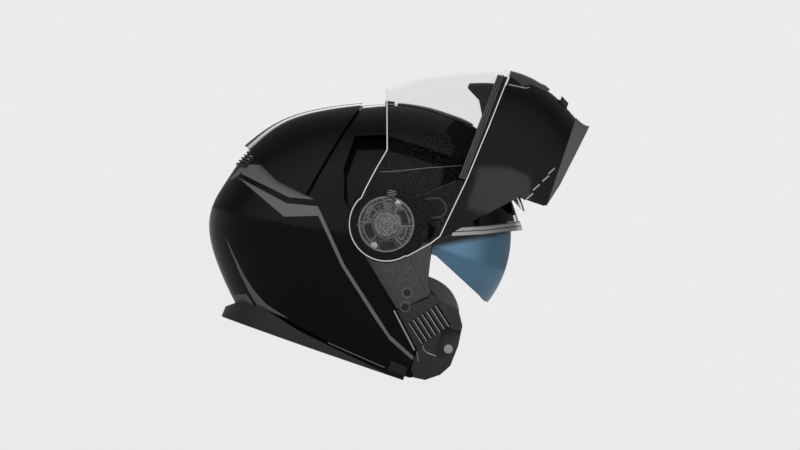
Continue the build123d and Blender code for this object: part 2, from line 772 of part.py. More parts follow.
# Chin vent cover with its slider
vent_cover_shares = [
    (0, 0.311), (0.206, 0.307), (0.317, 0.247), (0.206, 0.215), (0.175, 0.156), (0, 0.148),
    (-0.175, 0.156), (-0.206, 0.215), (-0.317, 0.247), (-0.206, 0.307),
]
cover_rise = 2.2
tab_width = 16.0
tab_height = 5.0
tab_level = 46.0
tab_travel = 6.0
tab_play = 1.0
tab_window_height = tab_height + tab_travel + 2 * tab_play
with BuildPart() as cover_block:
    with BuildSketch(Plane.YZ.offset(pivot_height / 2)):
        with BuildLine():
            Polyline(*[(y * shell_half_width, z * crown_height) for y, z in vent_cover_shares],
                     close=True)
        make_face()
        with Locations((0, tab_level)):
            Rectangle(tab_width + 2 * slide_gap, tab_window_height, mode=Mode.SUBTRACT)
    extrude(amount=2 * front_reach)
save(raised(layer(-cover_rise, -slide_gap, cover_block.part)), "chin_vent_cover")
with BuildPart() as tab_block:
    with BuildSketch(Plane.YZ.offset(pivot_height / 2)):
        with Locations((0, tab_level - tab_window_height / 2 + tab_height / 2 + slide_gap)):
            RectangleRounded(tab_width, tab_height, tab_height / 4)
    extrude(amount=2 * front_reach)
save(raised(layer(-cover_rise - slide_gap, -3 * slide_gap, tab_block.part)), "chin_vent_slider")

# Release button, pushed in at the chin's lower front
with BuildPart() as release_button:
    with BuildSketch(Plane.YZ.offset(front_reach - chin_wall - button_depth)):
        with Locations((0, button_level)):
            RectangleRounded(button_width, button_height, button_height / 4)
    extrude(amount=2 * button_depth)
    add(helmet_form(-button_proud), mode=Mode.INTERSECT)
save(raised(release_button.part), "release_button")

# Latch hooks on their pivots
with BuildPart() as hooks:
    for side in (-1, 1):
        with BuildSketch(Plane.XZ.offset(-side * hook_inner_y)):
            with BuildLine():
                Polyline(
                    (hook_pivot_x, hook_pivot_z + hook_eye_radius),
                    (striker_x, striker_z + hook_arm_height),
                    (striker_x - striker_radius - hook_tip_width, striker_z + hook_arm_height / 2),
                    (striker_x - striker_radius - hook_tip_width, striker_z - hook_tip_drop),
                    (striker_x - striker_radius - hook_mouth_gap, striker_z - hook_tip_drop),
                    (striker_x - striker_radius - hook_mouth_gap, striker_z),
                    (striker_x + striker_radius + hook_mouth_gap, striker_z),
                    (hook_pivot_x, hook_pivot_z - hook_eye_radius),
                    close=True,
                )
            make_face()
            with Locations((hook_pivot_x, hook_pivot_z)):
                Circle(hook_eye_radius)
                Circle(hook_pivot_radius + axle_clearance, mode=Mode.SUBTRACT)
            with Locations((striker_x, striker_z)):
                Circle(striker_radius + hook_mouth_gap, mode=Mode.SUBTRACT)
        extrude(amount=-side * hook_thickness)
save(raised(one_side(hooks.part, -1)), "latch_hook_right")
save(raised(one_side(hooks.part, 1)), "latch_hook_left")
hook_head = 1.6
with BuildPart() as hook_pins:
    add(side_rods([(hook_pivot_x, hook_pivot_z)], hook_pivot_radius, hook_inner_y - slide_gap, widest))
    add(side_rods([(hook_pivot_x, hook_pivot_z)], hook_eye_radius - hook_head,
                  hook_inner_y - slide_gap - hook_head, hook_inner_y - slide_gap))
    add(helmet_form(chin_wall), mode=Mode.INTERSECT)
save(raised(hook_pins.part), "hook_pins")

# Ratchet plates, drawn with the chin bar raised: screw bosses, arc windows and a row of teeth
tooth_count = 9
tooth_step = 7.0
tooth_start = 60.0
tooth_depth = 2.4
window_radius = 18.0
window_width = 5.0
window_angles = [150.0, 215.0, 320.0]
window_span = 42.0
plate_bore = pivot_head_radius + slide_gap
with BuildPart() as ratchet_plates:
    for side in (-1, 1):
        with BuildSketch(Plane.XZ.offset(-side * plate_inner)):
            with Locations(plate_place):
                Circle(plate_radius)
                for angle in window_angles:
                    SlotArc(
                        CenterArc((0, 0), window_radius, angle, window_span), window_width,
                        mode=Mode.SUBTRACT,
                    )
                with PolarLocations(plate_radius, tooth_count, start_angle=tooth_start,
                                    angular_range=tooth_step * tooth_count):
                    Rectangle(tooth_depth * 2, tooth_depth / 2, mode=Mode.SUBTRACT)
            with Locations(*screw_places):
                Circle(screw_radius, mode=Mode.SUBTRACT)
            with Locations(*pivot_place):
                Circle(plate_bore, mode=Mode.SUBTRACT)
        extrude(amount=-side * plate_thickness)
save(one_side(ratchet_plates.part, -1), "ratchet_plate_right")
save(one_side(ratchet_plates.part, 1), "ratchet_plate_left")

with BuildPart() as plate_screws:
    add(side_rods(screw_places, screw_radius, plate_inner, arm_end_outer))
save(plate_screws.part, "plate_screws")

# Visor: one clear moulded sheet with a flat round end at each side and a lift tab
tab_half_width = 12.0
tab_low = 80.5
tab_high = 84.5
tab_rise = 3.4
with BuildPart() as lift_tab:
    with BuildSketch(Plane.YZ.offset(pivot_height)):
        with Locations((0, (tab_low + tab_high) / 2)):
            Rectangle(2 * tab_half_width, tab_high - tab_low)
    extrude(amount=front_reach)
with BuildPart() as visor_steps:
    add(pivot_disc(visor_end_radius, visor_end_inner, widest, visor_place))
    add(helmet_form(0), mode=Mode.INTERSECT)
    add(side_prism(side_points(visor_shares)), mode=Mode.INTERSECT)
with BuildPart() as visor:
    add(layer(0, visor_wall, side_prism(side_points(visor_shares))))
    add(visor_steps.part)
    add(pivot_disc(visor_end_radius - visor_wall, visor_end_outer, widest, visor_place),
        mode=Mode.SUBTRACT)
    add(pivot_disc(arm_end_radius + panel_gap, 0, visor_end_inner), mode=Mode.SUBTRACT)
    add(pivot_disc(visor_end_radius, visor_end_inner, visor_end_outer, visor_place))
    add(side_rods([visor_place], hub_radius + axle_clearance, foam_inset, widest),
        mode=Mode.SUBTRACT)
    add(layer(-tab_rise, visor_wall / 2, lift_tab.part))
save(raised(visor.part), "visor")

# Pivot hubs that hold the visor's round ends on the ratchet plates
with BuildPart() as hubs:
    add(side_rods([plate_place], hub_radius, arm_end_outer, visor_end_outer + slide_gap))
    add(side_rods([plate_place], hub_cap_radius, visor_end_outer + slide_gap,
                  visor_end_outer + slide_gap + hub_cap_thickness))
save(one_side(hubs.part, -1), "visor_hub_right")
save(one_side(hubs.part, 1), "visor_hub_left")

# Sun visor, lowered, with an eye at each end on a pin in the shell
sun_place = [(sun_pivot_x, sun_pivot_z)]
with BuildPart() as lens_region:
    add(side_prism(side_points(lens_shares)))
    add(side_rods(sun_place, sun_eye_radius, foam_inset, widest))
with BuildPart() as sun_visor:
    add(sun_body(0))
    add(sun_body(sun_wall), mode=Mode.SUBTRACT)
    add(lens_region.part, mode=Mode.INTERSECT)
    add(side_rods(sun_place, sun_pin_radius + axle_clearance, foam_inset, widest), mode=Mode.SUBTRACT)
save(sun_visor.part, "sun_visor")

sun_eye_inner = math.sqrt((sun_reach - sun_wall) ** 2 - sun_eye_radius ** 2)
with BuildPart() as sun_pins:
    add(side_rods(sun_place, sun_pin_radius, sun_eye_inner - slide_gap, pin_inner))
    add(side_rods(sun_place, sun_pin_head_radius,
                  sun_eye_inner - slide_gap - sun_pin_head_thickness,
                  sun_eye_inner - slide_gap))
save(sun_pins.part, "sun_visor_pins")

# Sun visor slider: a knob outside, its stem through the shell's slot and a flange inside
knob_place = (sun_slot_front - knob_length / 2, sun_slot_level)
with BuildPart() as knob_block:
    with BuildSketch(Plane.XZ):
        with Locations(knob_place):
            RectangleRounded(knob_length, knob_height, knob_height / 3)
    extrude(amount=-widest)
with BuildPart() as stem_block:
    with BuildSketch(Plane.XZ):
        with Locations(knob_place):
            Rectangle(knob_length / 2, sun_slot_height - 2 * slide_gap)
    extrude(amount=-widest)
with BuildPart() as flange_block:
    with BuildSketch(Plane.XZ):
        with Locations(knob_place):
            Rectangle(knob_length - knob_gap, knob_height - knob_gap)
    extrude(amount=-widest)
with BuildPart() as sun_slider:
    add(layer(-knob_rise, -knob_gap, knob_block.part))
    add(layer(-knob_rise / 2, shell_wall + knob_gap + flange_wall / 2, stem_block.part))
    add(layer(shell_wall + knob_gap, shell_wall + knob_gap + flange_wall, flange_block.part))
save(sun_slider.part, "sun_visor_slider")

# Chin strap: two bands of webbing from their rivets to the buckle in the middle
strap_level = strap_floor + buckle_height / 2
anchor_share = 0.76
anchor_y = anchor_share * shell_half_width
strap_back = strap_x - strap_width / 2


def strap_band(side, end):
    """One band of webbing, upright at its rivet, then across the neck opening."""
    points = [
        (side * end, strap_level),
        (side * anchor_y / 2, strap_level),
        (side * (anchor_y - 2 * strap_floor), strap_level + strap_floor),
        (side * anchor_y, strap_level + 3 * strap_floor),
        (side * anchor_y, foam_floor - slide_gap),
    ]
    with BuildPart() as band:
        with BuildSketch(Plane.YZ.offset(strap_back)):
            with BuildLine():
                route = Polyline(*points)
            trace(route, line_width=strap_thickness)
        extrude(amount=strap_width)
        add(side_rods([(strap_x, strap_anchor_height)], strap_rivet_radius, anchor_y - strap_floor,
                      widest), mode=Mode.SUBTRACT)
    return band.part


tongue_start = buckle_length / 2 + strap_width / 2
save(strap_band(-1, tongue_start), "strap_right")
save(strap_band(1, buckle_length / 2), "strap_left")

band_inner = anchor_y - strap_thickness / 2
with BuildPart() as strap_rivets:
    add(side_rods([(strap_x, strap_anchor_height)], strap_rivet_radius, band_inner, widest))
    add(side_rods([(strap_x, strap_anchor_height)], rivet_head_radius,
                  band_inner - rivet_head_thickness, band_inner))
    add(helmet_form(shell_wall), mode=Mode.INTERSECT)
save(strap_rivets.part, "strap_rivets")

# Buckle: a hollow housing, the toothed tongue in it and the lever on its top
channel_gap = 0.4
tooth_pitch = 3.0
ladder_teeth = 8
ladder_depth = 0.8
lever_pin_y = buckle_length / 4
lever_gap = 0.4
ear_wall = 3.0
ear_height = 5.0
housing_top = strap_floor + buckle_height
lever_level = housing_top + ear_height / 2
lever_width = buckle_width - 2 * ear_wall - 2 * lever_gap
with BuildPart() as buckle_housing:
    with BuildSketch(Plane.XY.offset(strap_floor)):
        with Locations((strap_x, 0)):
            RectangleRounded(buckle_width, buckle_length, buckle_wall)
    extrude(amount=buckle_height)
    with BuildSketch(Plane.XZ.offset(-buckle_length / 2 + buckle_wall)):
        with Locations((strap_x, strap_level)):
            Rectangle(strap_width - 2 * channel_gap, tongue_thickness + 2 * channel_gap)
    extrude(amount=buckle_length, mode=Mode.SUBTRACT)
    with BuildSketch(Plane.XY.offset(housing_top)):
        for edge in (-1, 1):
            with Locations((strap_x + edge * (buckle_width - ear_wall) / 2, lever_pin_y)):
                Rectangle(ear_wall, 2 * ear_height)
    extrude(amount=ear_height)
    with BuildSketch(Plane.YZ.offset(strap_x - buckle_width / 2)):
        with Locations((lever_pin_y, lever_level)):
            Circle(lever_pin_radius)
    extrude(amount=buckle_width, mode=Mode.SUBTRACT)
save(buckle_housing.part, "buckle_housing")

with BuildPart() as buckle_pin:
    with BuildSketch(Plane.YZ.offset(strap_x - buckle_width / 2)):
        with Locations((lever_pin_y, lever_level)):
            Circle(lever_pin_radius)
    extrude(amount=buckle_width)
save(buckle_pin.part, "buckle_pin")

with BuildPart() as buckle_lever:
    with BuildSketch(Plane.YZ.offset(strap_x - lever_width / 2)):
        with Locations((lever_pin_y, lever_level)):
            Circle(ear_height / 2 - lever_gap / 2)
        with Locations((lever_pin_y - lever_length / 2, lever_level)):
            Rectangle(lever_length, lever_thickness)
        with Locations((lever_pin_y, lever_level)):
            Circle(lever_pin_radius + axle_clearance, mode=Mode.SUBTRACT)
    extrude(amount=lever_width)
save(buckle_lever.part, "buckle_lever")

tongue_width = strap_width - 4 * channel_gap
with BuildPart() as strap_tongue:
    with BuildSketch(Plane.XY.offset(strap_level - tongue_thickness / 2)):
        with Locations((strap_x, -tongue_start + tongue_length / 2)):
            RectangleRounded(tongue_width, tongue_length, buckle_wall)
    extrude(amount=tongue_thickness)
    with BuildSketch(Plane.XY.offset(strap_level + tongue_thickness / 2 - ladder_depth)):
        with Locations((strap_x, -tongue_start + tongue_length / 2)):
            with GridLocations(0, tooth_pitch, 1, ladder_teeth):
                Rectangle(tongue_width / 2, tooth_pitch / 2)
    extrude(amount=ladder_depth, mode=Mode.SUBTRACT)
save(strap_tongue.part, "strap_tongue")
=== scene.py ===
"""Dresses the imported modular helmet: finishes, modelled soft pieces, studio and camera."""

import logging
import math
from collections.abc import Iterable
from dataclasses import dataclass, field
from enum import Enum
from functools import cached_property

import bmesh
import bpy
import numpy as np
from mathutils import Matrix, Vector


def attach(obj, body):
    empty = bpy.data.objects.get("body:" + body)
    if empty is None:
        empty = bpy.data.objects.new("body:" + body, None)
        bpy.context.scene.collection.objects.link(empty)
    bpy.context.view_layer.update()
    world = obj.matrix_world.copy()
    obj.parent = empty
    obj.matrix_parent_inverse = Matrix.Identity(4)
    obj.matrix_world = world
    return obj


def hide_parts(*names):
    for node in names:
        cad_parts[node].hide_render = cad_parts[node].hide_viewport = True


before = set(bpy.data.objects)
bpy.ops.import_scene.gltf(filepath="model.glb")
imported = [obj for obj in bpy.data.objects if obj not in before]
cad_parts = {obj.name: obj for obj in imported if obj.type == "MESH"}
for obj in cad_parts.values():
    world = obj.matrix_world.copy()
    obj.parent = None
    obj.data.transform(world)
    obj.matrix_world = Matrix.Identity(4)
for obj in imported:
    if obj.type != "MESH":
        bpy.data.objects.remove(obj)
logging.basicConfig(level=logging.INFO, format="%(name)s: %(message)s")
log = logging.getLogger("helmet")

MM = 0.001
# Driving sizes of the form, in millimetres
PIVOT_HEIGHT = 137.6
CROWN_HEIGHT = 250.8
FRONT_REACH = 171.0
REAR_REACH = 165.0
HALF_WIDTH = 126.0
BELT_HEIGHT = 115.0
SETBACK = 10.0
# Edges sharper than this stay sharp, in degrees
SHARP_ANGLE = 35.0
CLOTH_SHARP_ANGLE = 60.0
# Points nearer than this are one, in metres
MERGE_DISTANCE = 1e-6
# Share of Y in a path's direction past which a section is set out from X
STEEP = 0.9


class Side(Enum):
    """The two sides of the helmet, as the sign of Y."""

    RIGHT = -1
    LEFT = 1


def linear(code: str) -> tuple[float, float, float, float]:
    """Turns an sRGB hex colour to linear light.

    Args:
        code: six hex digits after a hash sign.

    Returns:
        Red, green, blue and a full alpha.
    """
    parts = [int(code[i:i + 2], 16) / 255 for i in (1, 3, 5)]
    low = [c / 12.92 if c <= 0.04045 else ((c + 0.055) / 1.055) ** 2.4 for c in parts]
    return (low[0], low[1], low[2], 1.0)


def add_node(tree: bpy.types.NodeTree, kind: str, inputs: dict | None = None,
             **settings: object) -> bpy.types.Node:
    """Adds a node, sets its properties, and fills or joins its inputs.

    Args:
        tree: the node tree that gets the node.
        kind: the node's type name.
        inputs: socket name or number to a value, or to an output that is joined to it.
        settings: the node's own properties.

    Returns:
        The new node.
    """
    node = tree.nodes.new(kind)
    for key, value in settings.items():
        setattr(node, key, value)
    for key, value in (inputs or {}).items():
        if isinstance(value, bpy.types.NodeSocket):
            tree.links.new(value, node.inputs[key])
        else:
            node.inputs[key].default_value = value
    return node


@dataclass
class Graph:
    """The nodes of one material under way."""

    tree: bpy.types.NodeTree

    @property
    def shader(self) -> bpy.types.Node:
        """The material's Principled shader."""
        return self.tree.nodes["Principled BSDF"]

    @cached_property
    def place(self) -> bpy.types.NodeSocket:
        """Object coordinates in metres, which hold every pattern still on its piece."""
        return add_node(self.tree, "ShaderNodeTexCoord").outputs["Object"]

    def noise(self, size: float, **settings: float) -> bpy.types.NodeSocket:
        """Adds noise with blots of a real size.

        Args:
            size: of a blot, in millimetres.
            settings: the noise's further inputs.

        Returns:
            Its output from 0 to 1.
        """
        return add_node(self.tree, "ShaderNodeTexNoise", {
            "Vector": self.place, "Scale": 1 / (size * MM), **settings}).outputs["Fac"]

    def combine(self, operation: str, values: Iterable) -> bpy.types.NodeSocket:
        """Joins outputs or numbers one after another with Math nodes.

        Args:
            operation: what each Math node does.
            values: the first is an output.

        Returns:
            The last node's output.
        """
        result, *others = values
        for value in others:
            result = add_node(self.tree, "ShaderNodeMath", {0: result, 1: value},
                              operation=operation).outputs[0]
        return result

    def ramp(self, value: bpy.types.NodeSocket, low: float, high: float) -> bpy.types.NodeSocket:
        """Spreads the values between two bounds over 0 to 1.

        Args:
            value: the output to spread.
            low: what gives 0.
            high: what gives 1.

        Returns:
            The spread output.
        """
        return add_node(self.tree, "ShaderNodeMapRange", {
            "Value": value, "From Min": low, "From Max": high}).outputs["Result"]

    def beyond(self, start: tuple, end: tuple) -> tuple[bpy.types.NodeSocket, float]:
        """How far points lie to the right of a line seen from the side: place . normal.

        Args:
            start: (x, z) of the line's start in millimetres.
            end: (x, z) of its end.

        Returns:
            The output with place . normal, and its value on the line, in metres.
        """
        across = (end[1] - start[1], start[0] - end[0])
        size = math.hypot(*across)
        normal = (across[0] / size, 0.0, across[1] / size)
        dot = add_node(self.tree, "ShaderNodeVectorMath", {0: self.place, 1: normal},
                       operation="DOT_PRODUCT")
        return dot.outputs["Value"], (normal[0] * start[0] + normal[2] * start[1]) * MM

    def blend(self, factor: bpy.types.NodeSocket, first: str, second: str) -> None:
        """Mixes two colours into the base colour.

        Args:
            factor: 0 where the first shows and 1 where the second does.
            first: its hex code.
            second: its hex code.
        """
        mix = add_node(self.tree, "ShaderNodeMix", {
            "Factor": factor, "A": linear(first), "B": linear(second)}, data_type="RGBA")
        self.tree.links.new(mix.outputs["Result"], self.shader.inputs["Base Color"])

    def emboss(self, height: bpy.types.NodeSocket, strength: float, depth: float) -> None:
        """Raises the surface by a pattern.

        Args:
            height: the pattern.
            strength: how much of it shows.
            depth: how deep it is, in millimetres.
        """
        bump = add_node(self.tree, "ShaderNodeBump", {
            "Strength": strength, "Distance": depth * MM, "Height": height})
        self.tree.links.new(bump.outputs["Normal"], self.shader.inputs["Normal"])


@dataclass(frozen=True)
class Finish:
    """A plain moulded finish, and the base of all others."""

    name: str
    colour: str
    roughness: float = 0.5
    metallic: float = 0.0
    specular: float = 0.5
    alpha: float = 1.0
    grain: float = 0.0
    grain_depth: float = 0.0
    grain_strength: float = 0.5
    sheen: float = 0.0
    glow: float = 0.0

    def surface(self, graph: Graph) -> None:
        """Adds the pattern: here a fine moulded grain as bump, sized in millimetres.

        Args:
            graph: the material's nodes.
        """
        if self.grain:
            graph.emboss(graph.noise(self.grain, Detail=2.0), self.grain_strength,
                         self.grain_depth)

    def build(self) -> bpy.types.Material:
        """Makes the material once.

        Returns:
            The material, or the one made already under this name.
        """
        found = bpy.data.materials.get(self.name)
        if found:
            return found
        material = bpy.data.materials.new(self.name)
        material.use_nodes = True
        graph = Graph(material.node_tree)
        for socket, value in (("Base Color", linear(self.colour)), ("Roughness", self.roughness),
                              ("Metallic", self.metallic), ("Specular IOR Level", self.specular),
                              ("Alpha", self.alpha), ("Sheen Weight", self.sheen),
                              ("Emission Color", linear(self.colour)),
                              ("Emission Strength", self.glow)):
            graph.shader.inputs[socket].default_value = value
        self.surface(graph)
        return material


@dataclass(frozen=True)
class StripedLacquer(Finish):
    """Sprayed and clear-coated shell paint with grey stripes, which gives a deep even gloss."""

    stripe_colour: str = "#767676"
    outlines: tuple = ()

    def surface(self, graph: Graph) -> None:
        """Paints the stripes, convex outlines seen from the side.

        The mask is the greatest over the outlines of the least of one step per edge.

        Args:
            graph: the material's nodes.
        """
        masks = []
        for outline in self.outlines:
            area = sum(a[0] * b[1] - b[0] * a[1]
                       for a, b in zip(outline, outline[1:] + outline[:1]))
            corners = outline if area > 0 else outline[::-1]
            masks.append(graph.combine("MINIMUM", [
                graph.combine("LESS_THAN", graph.beyond(start, end))
                for start, end in zip(corners, corners[1:] + corners[:1])]))
        graph.blend(graph.combine("MAXIMUM", masks), self.colour, self.stripe_colour)


@dataclass(frozen=True)
class GrainedPlastic(Finish):
    """Spark-eroded mould texture, which gives a salt-and-pepper grain of about a millimetre."""

    light: str = "#8a8a8a"
    speck: float = 1.1
    bounds: tuple[float, float] = (0.38, 0.68)
    relief: tuple[float, float] = (0.6, 0.3)

    def surface(self, graph: Graph) -> None:
        """Mixes dark and light by fine noise and raises it a little.

        Args:
            graph: the material's nodes.
        """
        noise = graph.noise(self.speck, Detail=3.0, Roughness=0.7)
        graph.blend(graph.ramp(noise, *self.bounds), self.colour, self.light)
        graph.emboss(noise, *self.relief)


@dataclass(frozen=True)
class MottledPlastic(GrainedPlastic):
    """Smoked acetal, whose inner reflections show as broken light and dark patches."""

    bounds: tuple[float, float] = (0.15, 0.5)
    blot: float = 8.8

    def surface(self, graph: Graph) -> None:
        """Mixes dark and light by two sizes of noise, lighter where both are high.

        Args:
            graph: the material's nodes.
        """
        fine = add_node(graph.tree, "ShaderNodeTexVoronoi", {
            "Vector": graph.place, "Scale": 1 / (self.speck * MM)})
        both = graph.combine("MULTIPLY", (graph.noise(self.blot, Detail=2.0),
                                          fine.outputs["Distance"]))
        graph.blend(graph.ramp(both, *self.bounds), self.colour, self.light)


@dataclass(frozen=True)
class BrowShadedMirrorLens(Finish):
    """Blue mirror lens with painted shade: a dark band at the top, where the brow shades it."""

    # Above this line the lens is painted dark: shade that the brow casts on it
    edge: tuple = ((45.0, 127.4), (107.5, 165.0))
    fade: float = 3.0
    brow_shade: str = "#16191b"

    def surface(self, graph: Graph) -> None:
        """Mixes lens colour and painted shade by the distance above a slanting line seen from the
        side.

        Args:
            graph: the material's nodes.
        """
        start, end = self.edge
        above, reach = graph.beyond(end, start)
        graph.blend(graph.ramp(above, reach - self.fade * MM, reach + self.fade * MM),
                    self.colour, self.brow_shade)


# Convex outlines of the grey stripes on the shell, as (x, z) seen from the side
STRIPES = (
    ((-161.2, 118.4), (-159.3, 125.0), (-151.3, 143.3), (-149.1, 134.3), (-154.0, 129.3)),
    ((-151.3, 143.3), (-134.7, 148.5), (-116.0, 140.4), (-99.2, 128.1), (-149.1, 134.3)),
    ((-116.0, 140.4), (-76.8, 133.6), (-99.2, 128.1)),
    ((-151.9, 130.3), (-99.6, 122.0), (-97.8, 109.3)),
    ((-99.6, 122.0), (-71.0, 128.9), (-66.8, 125.0), (-67.3, 120.6), (-97.8, 109.3)),
    ((-67.3, 120.6), (-66.8, 125.0), (-29.2, 85.2), (-31.9, 83.4)),
    ((-31.9, 83.4), (-29.2, 85.2), (13.2, 51.8), (12.0, 48.3)),
    ((12.0, 48.3), (13.2, 51.8), (32.9, 36.2), (34.4, 31.7)),
    ((34.4, 31.7), (32.9, 36.2), (65.3, 22.3), (66.6, 18.5)),
    ((-145.0, 73.8), (-128.3, 56.9), (-133.6, 60.1)),
    ((-133.6, 60.1), (-128.3, 56.9), (-115.6, 44.5), (-119.9, 44.7)),
    ((-119.9, 44.7), (-115.6, 44.5), (-102.0, 34.1), (-107.3, 32.3)),
    ((-107.3, 32.3), (-102.0, 34.1), (-87.4, 25.8), (-94.1, 21.0)),
    ((-94.1, 21.0), (-87.4, 25.8), (-61.8, 19.5)),
    ((-119.9, 23.0), (-108.5, 28.4), (-96.0, 20.2), (-115.4, 17.0)),
)

# Each finish is named for its material and how its surface was made; grains finer than half a
# millimetre are drawn that wide, because they would not show
# Clear coat over black paint: a deep even gloss with long highlights
LACQUER = StripedLacquer("lacquered_polycarbonate_striped", "#0a0a0b", roughness=0.1,
                         specular=0.18, outlines=STRIPES)
BLACK_GLOSS = Finish("lacquered_polycarbonate", "#0a0a0b", roughness=0.1, specular=0.18)
# Fine spark texture from the mould: a soft dark sheen
SATIN_BLACK = Finish("moulded_abs_satin", "#1b1b1c", roughness=0.55, grain=0.5, grain_depth=0.05)
# A smoother mould: a tighter highlight along the lip
LIP_BLACK = Finish("moulded_abs_semi_gloss", "#1f1f20", roughness=0.32, grain=0.6,
                   grain_depth=0.02)
# Pigment in the melt: an even dark grey
DARK_GREY = Finish("moulded_abs_grey", "#3f3f40", roughness=0.4, grain=0.6, grain_depth=0.03)
# Coarse spark texture, drawn about twice as wide as it is to show: light and dark specks
JAW_GRAIN = GrainedPlastic("spark_textured_nylon", "#262627", roughness=0.55, light="#636364",
                           speck=0.8)
# Hardly any texture: a calm surface beside the speckled one
JAW_SMOOTH = Finish("moulded_nylon_smooth", "#303031", roughness=0.45, grain=0.5,
                    grain_depth=0.04)
# Bare acetal from a fine mould: plain mid grey; the same grey paints a highlight line along the
# base
SNAP_GREY_AND_HIGHLIGHT = Finish("moulded_acetal_grey", "#6c6c6e", roughness=0.4)
# Cured rubber: dull, almost without highlights
RUBBER = Finish("moulded_rubber", "#141415", roughness=0.7, specular=0.3)
GREY_RUBBER = Finish("moulded_grey_rubber", "#5b5b5c", roughness=0.6, specular=0.3)
# Beads fused in the mould: shallow round lumps
FOAM = Finish("beaded_foam", "#202021", roughness=0.8, grain=3.0, grain_depth=0.3)
# Loops brushed open: soft, with a pale rim of fibres
KNIT = Finish("brushed_knit", "#58585a", roughness=0.9, grain=0.7, grain_depth=0.4, sheen=0.4)
# Close weave: fine dark ribs
WEBBING = Finish("woven_webbing", "#161617", roughness=0.85, grain=0.6, grain_depth=0.3)
# Polished mould: seen through, with thin sharp highlights
CLEAR = Finish("moulded_clear_polycarbonate", "#3a3c3d", roughness=0.03, specular=0.3,
               alpha=0.035)
# Smoke tint over ribbed backs: broken light and dark patches
SMOKED = MottledPlastic("moulded_smoked_acetal", "#1c1c1d", roughness=0.25, light="#77777a",
                        speck=2.2)
# Metal flake in the melt, drawn larger than it is to show: scattered bright specks
HUB_SPECKLE = GrainedPlastic("metal_flake_acetal", "#1b1b1c", roughness=0.35, light="#a4a4a6",
                             speck=1.1)
# Clear ribs in the smoke: pale lines; the same finish paints the highlight along the shell's
# crease
PALE_RIB_AND_HIGHLIGHT = Finish("clear_acetal_rib", "#8c8c8f", roughness=0.25, grain=0.8, grain_depth=0.2)
# Vacuum mirror coat: a blue reflection, with a painted dark band of shade from the brow at the top
MIRROR = BrowShadedMirrorLens("mirror_coated_lens", "#6a97b4", roughness=0.12, metallic=0.5, alpha=0.93)
# Cut edge of the clear sheet: a painted highlight, a white glow though it is no lamp
GLOWING_EDGE = Finish("polished_polycarbonate_edge", "#d8d8d8", roughness=0.2, glow=0.3)
# Silver paint: a soft metallic line; the same finish paints highlights on edges, louvres and the
# vent cover
SILVER_PAINT_AND_HIGHLIGHT = Finish("satin_silver_line", "#b4b4b4", roughness=0.35, metallic=0.6)
# Turned on a lathe: grey metal with blurred highlights
STEEL = Finish("turned_steel", "#a9a9ab", roughness=0.3, metallic=1.0)
# Plated over polish: sharp bright highlights
CHROME = Finish("plated_steel", "#d9d9da", roughness=0.12, metallic=1.0)

# Finish of each node; an asterisk stands for both sides
FINISH_ROWS = (
    (LACQUER, "outer_shell"),
    (BLACK_GLOSS, "rear_spoiler chin_bar"),
    (DARK_GREY, "crown_vent chin_vent_cover"),
    (LIP_BLACK, "rear_lip"),
    (JAW_GRAIN, "jaw_plate_*"),
    (JAW_SMOOTH, "jaw_cover_*"),
    (RUBBER, "base_trim visor_seal"),
    (GREY_RUBBER, "chin_skirt"),
    (FOAM, "crown_foam cheek_foam_* chin_liner"),
    (KNIT, "comfort_liner cheek_pad_* neck_roll"),
    (WEBBING, "strap_*"),
    (HUB_SPECKLE, "visor_hub_*"),
    (CLEAR, "visor"),
    (SMOKED, "ratchet_plate_*"),
    (MIRROR, "sun_visor"),
    (STEEL, "striker_pin_* pivot_pin_* strap_rivets buckle_housing buckle_pin hook_pins"),
    (STEEL, "latch_hook_*"),
    (CHROME, "plate_screws"),
)


def spread(values: tuple, start: float) -> np.ndarray:
    """Adds the value at the apex in front of a table of shares, base last.

    Args:
        values: shares from the base up.
        start: the share at the apex.

    Returns:
        The shares from the apex down.
    """
    return np.array([start, *reversed(values)], dtype=float)


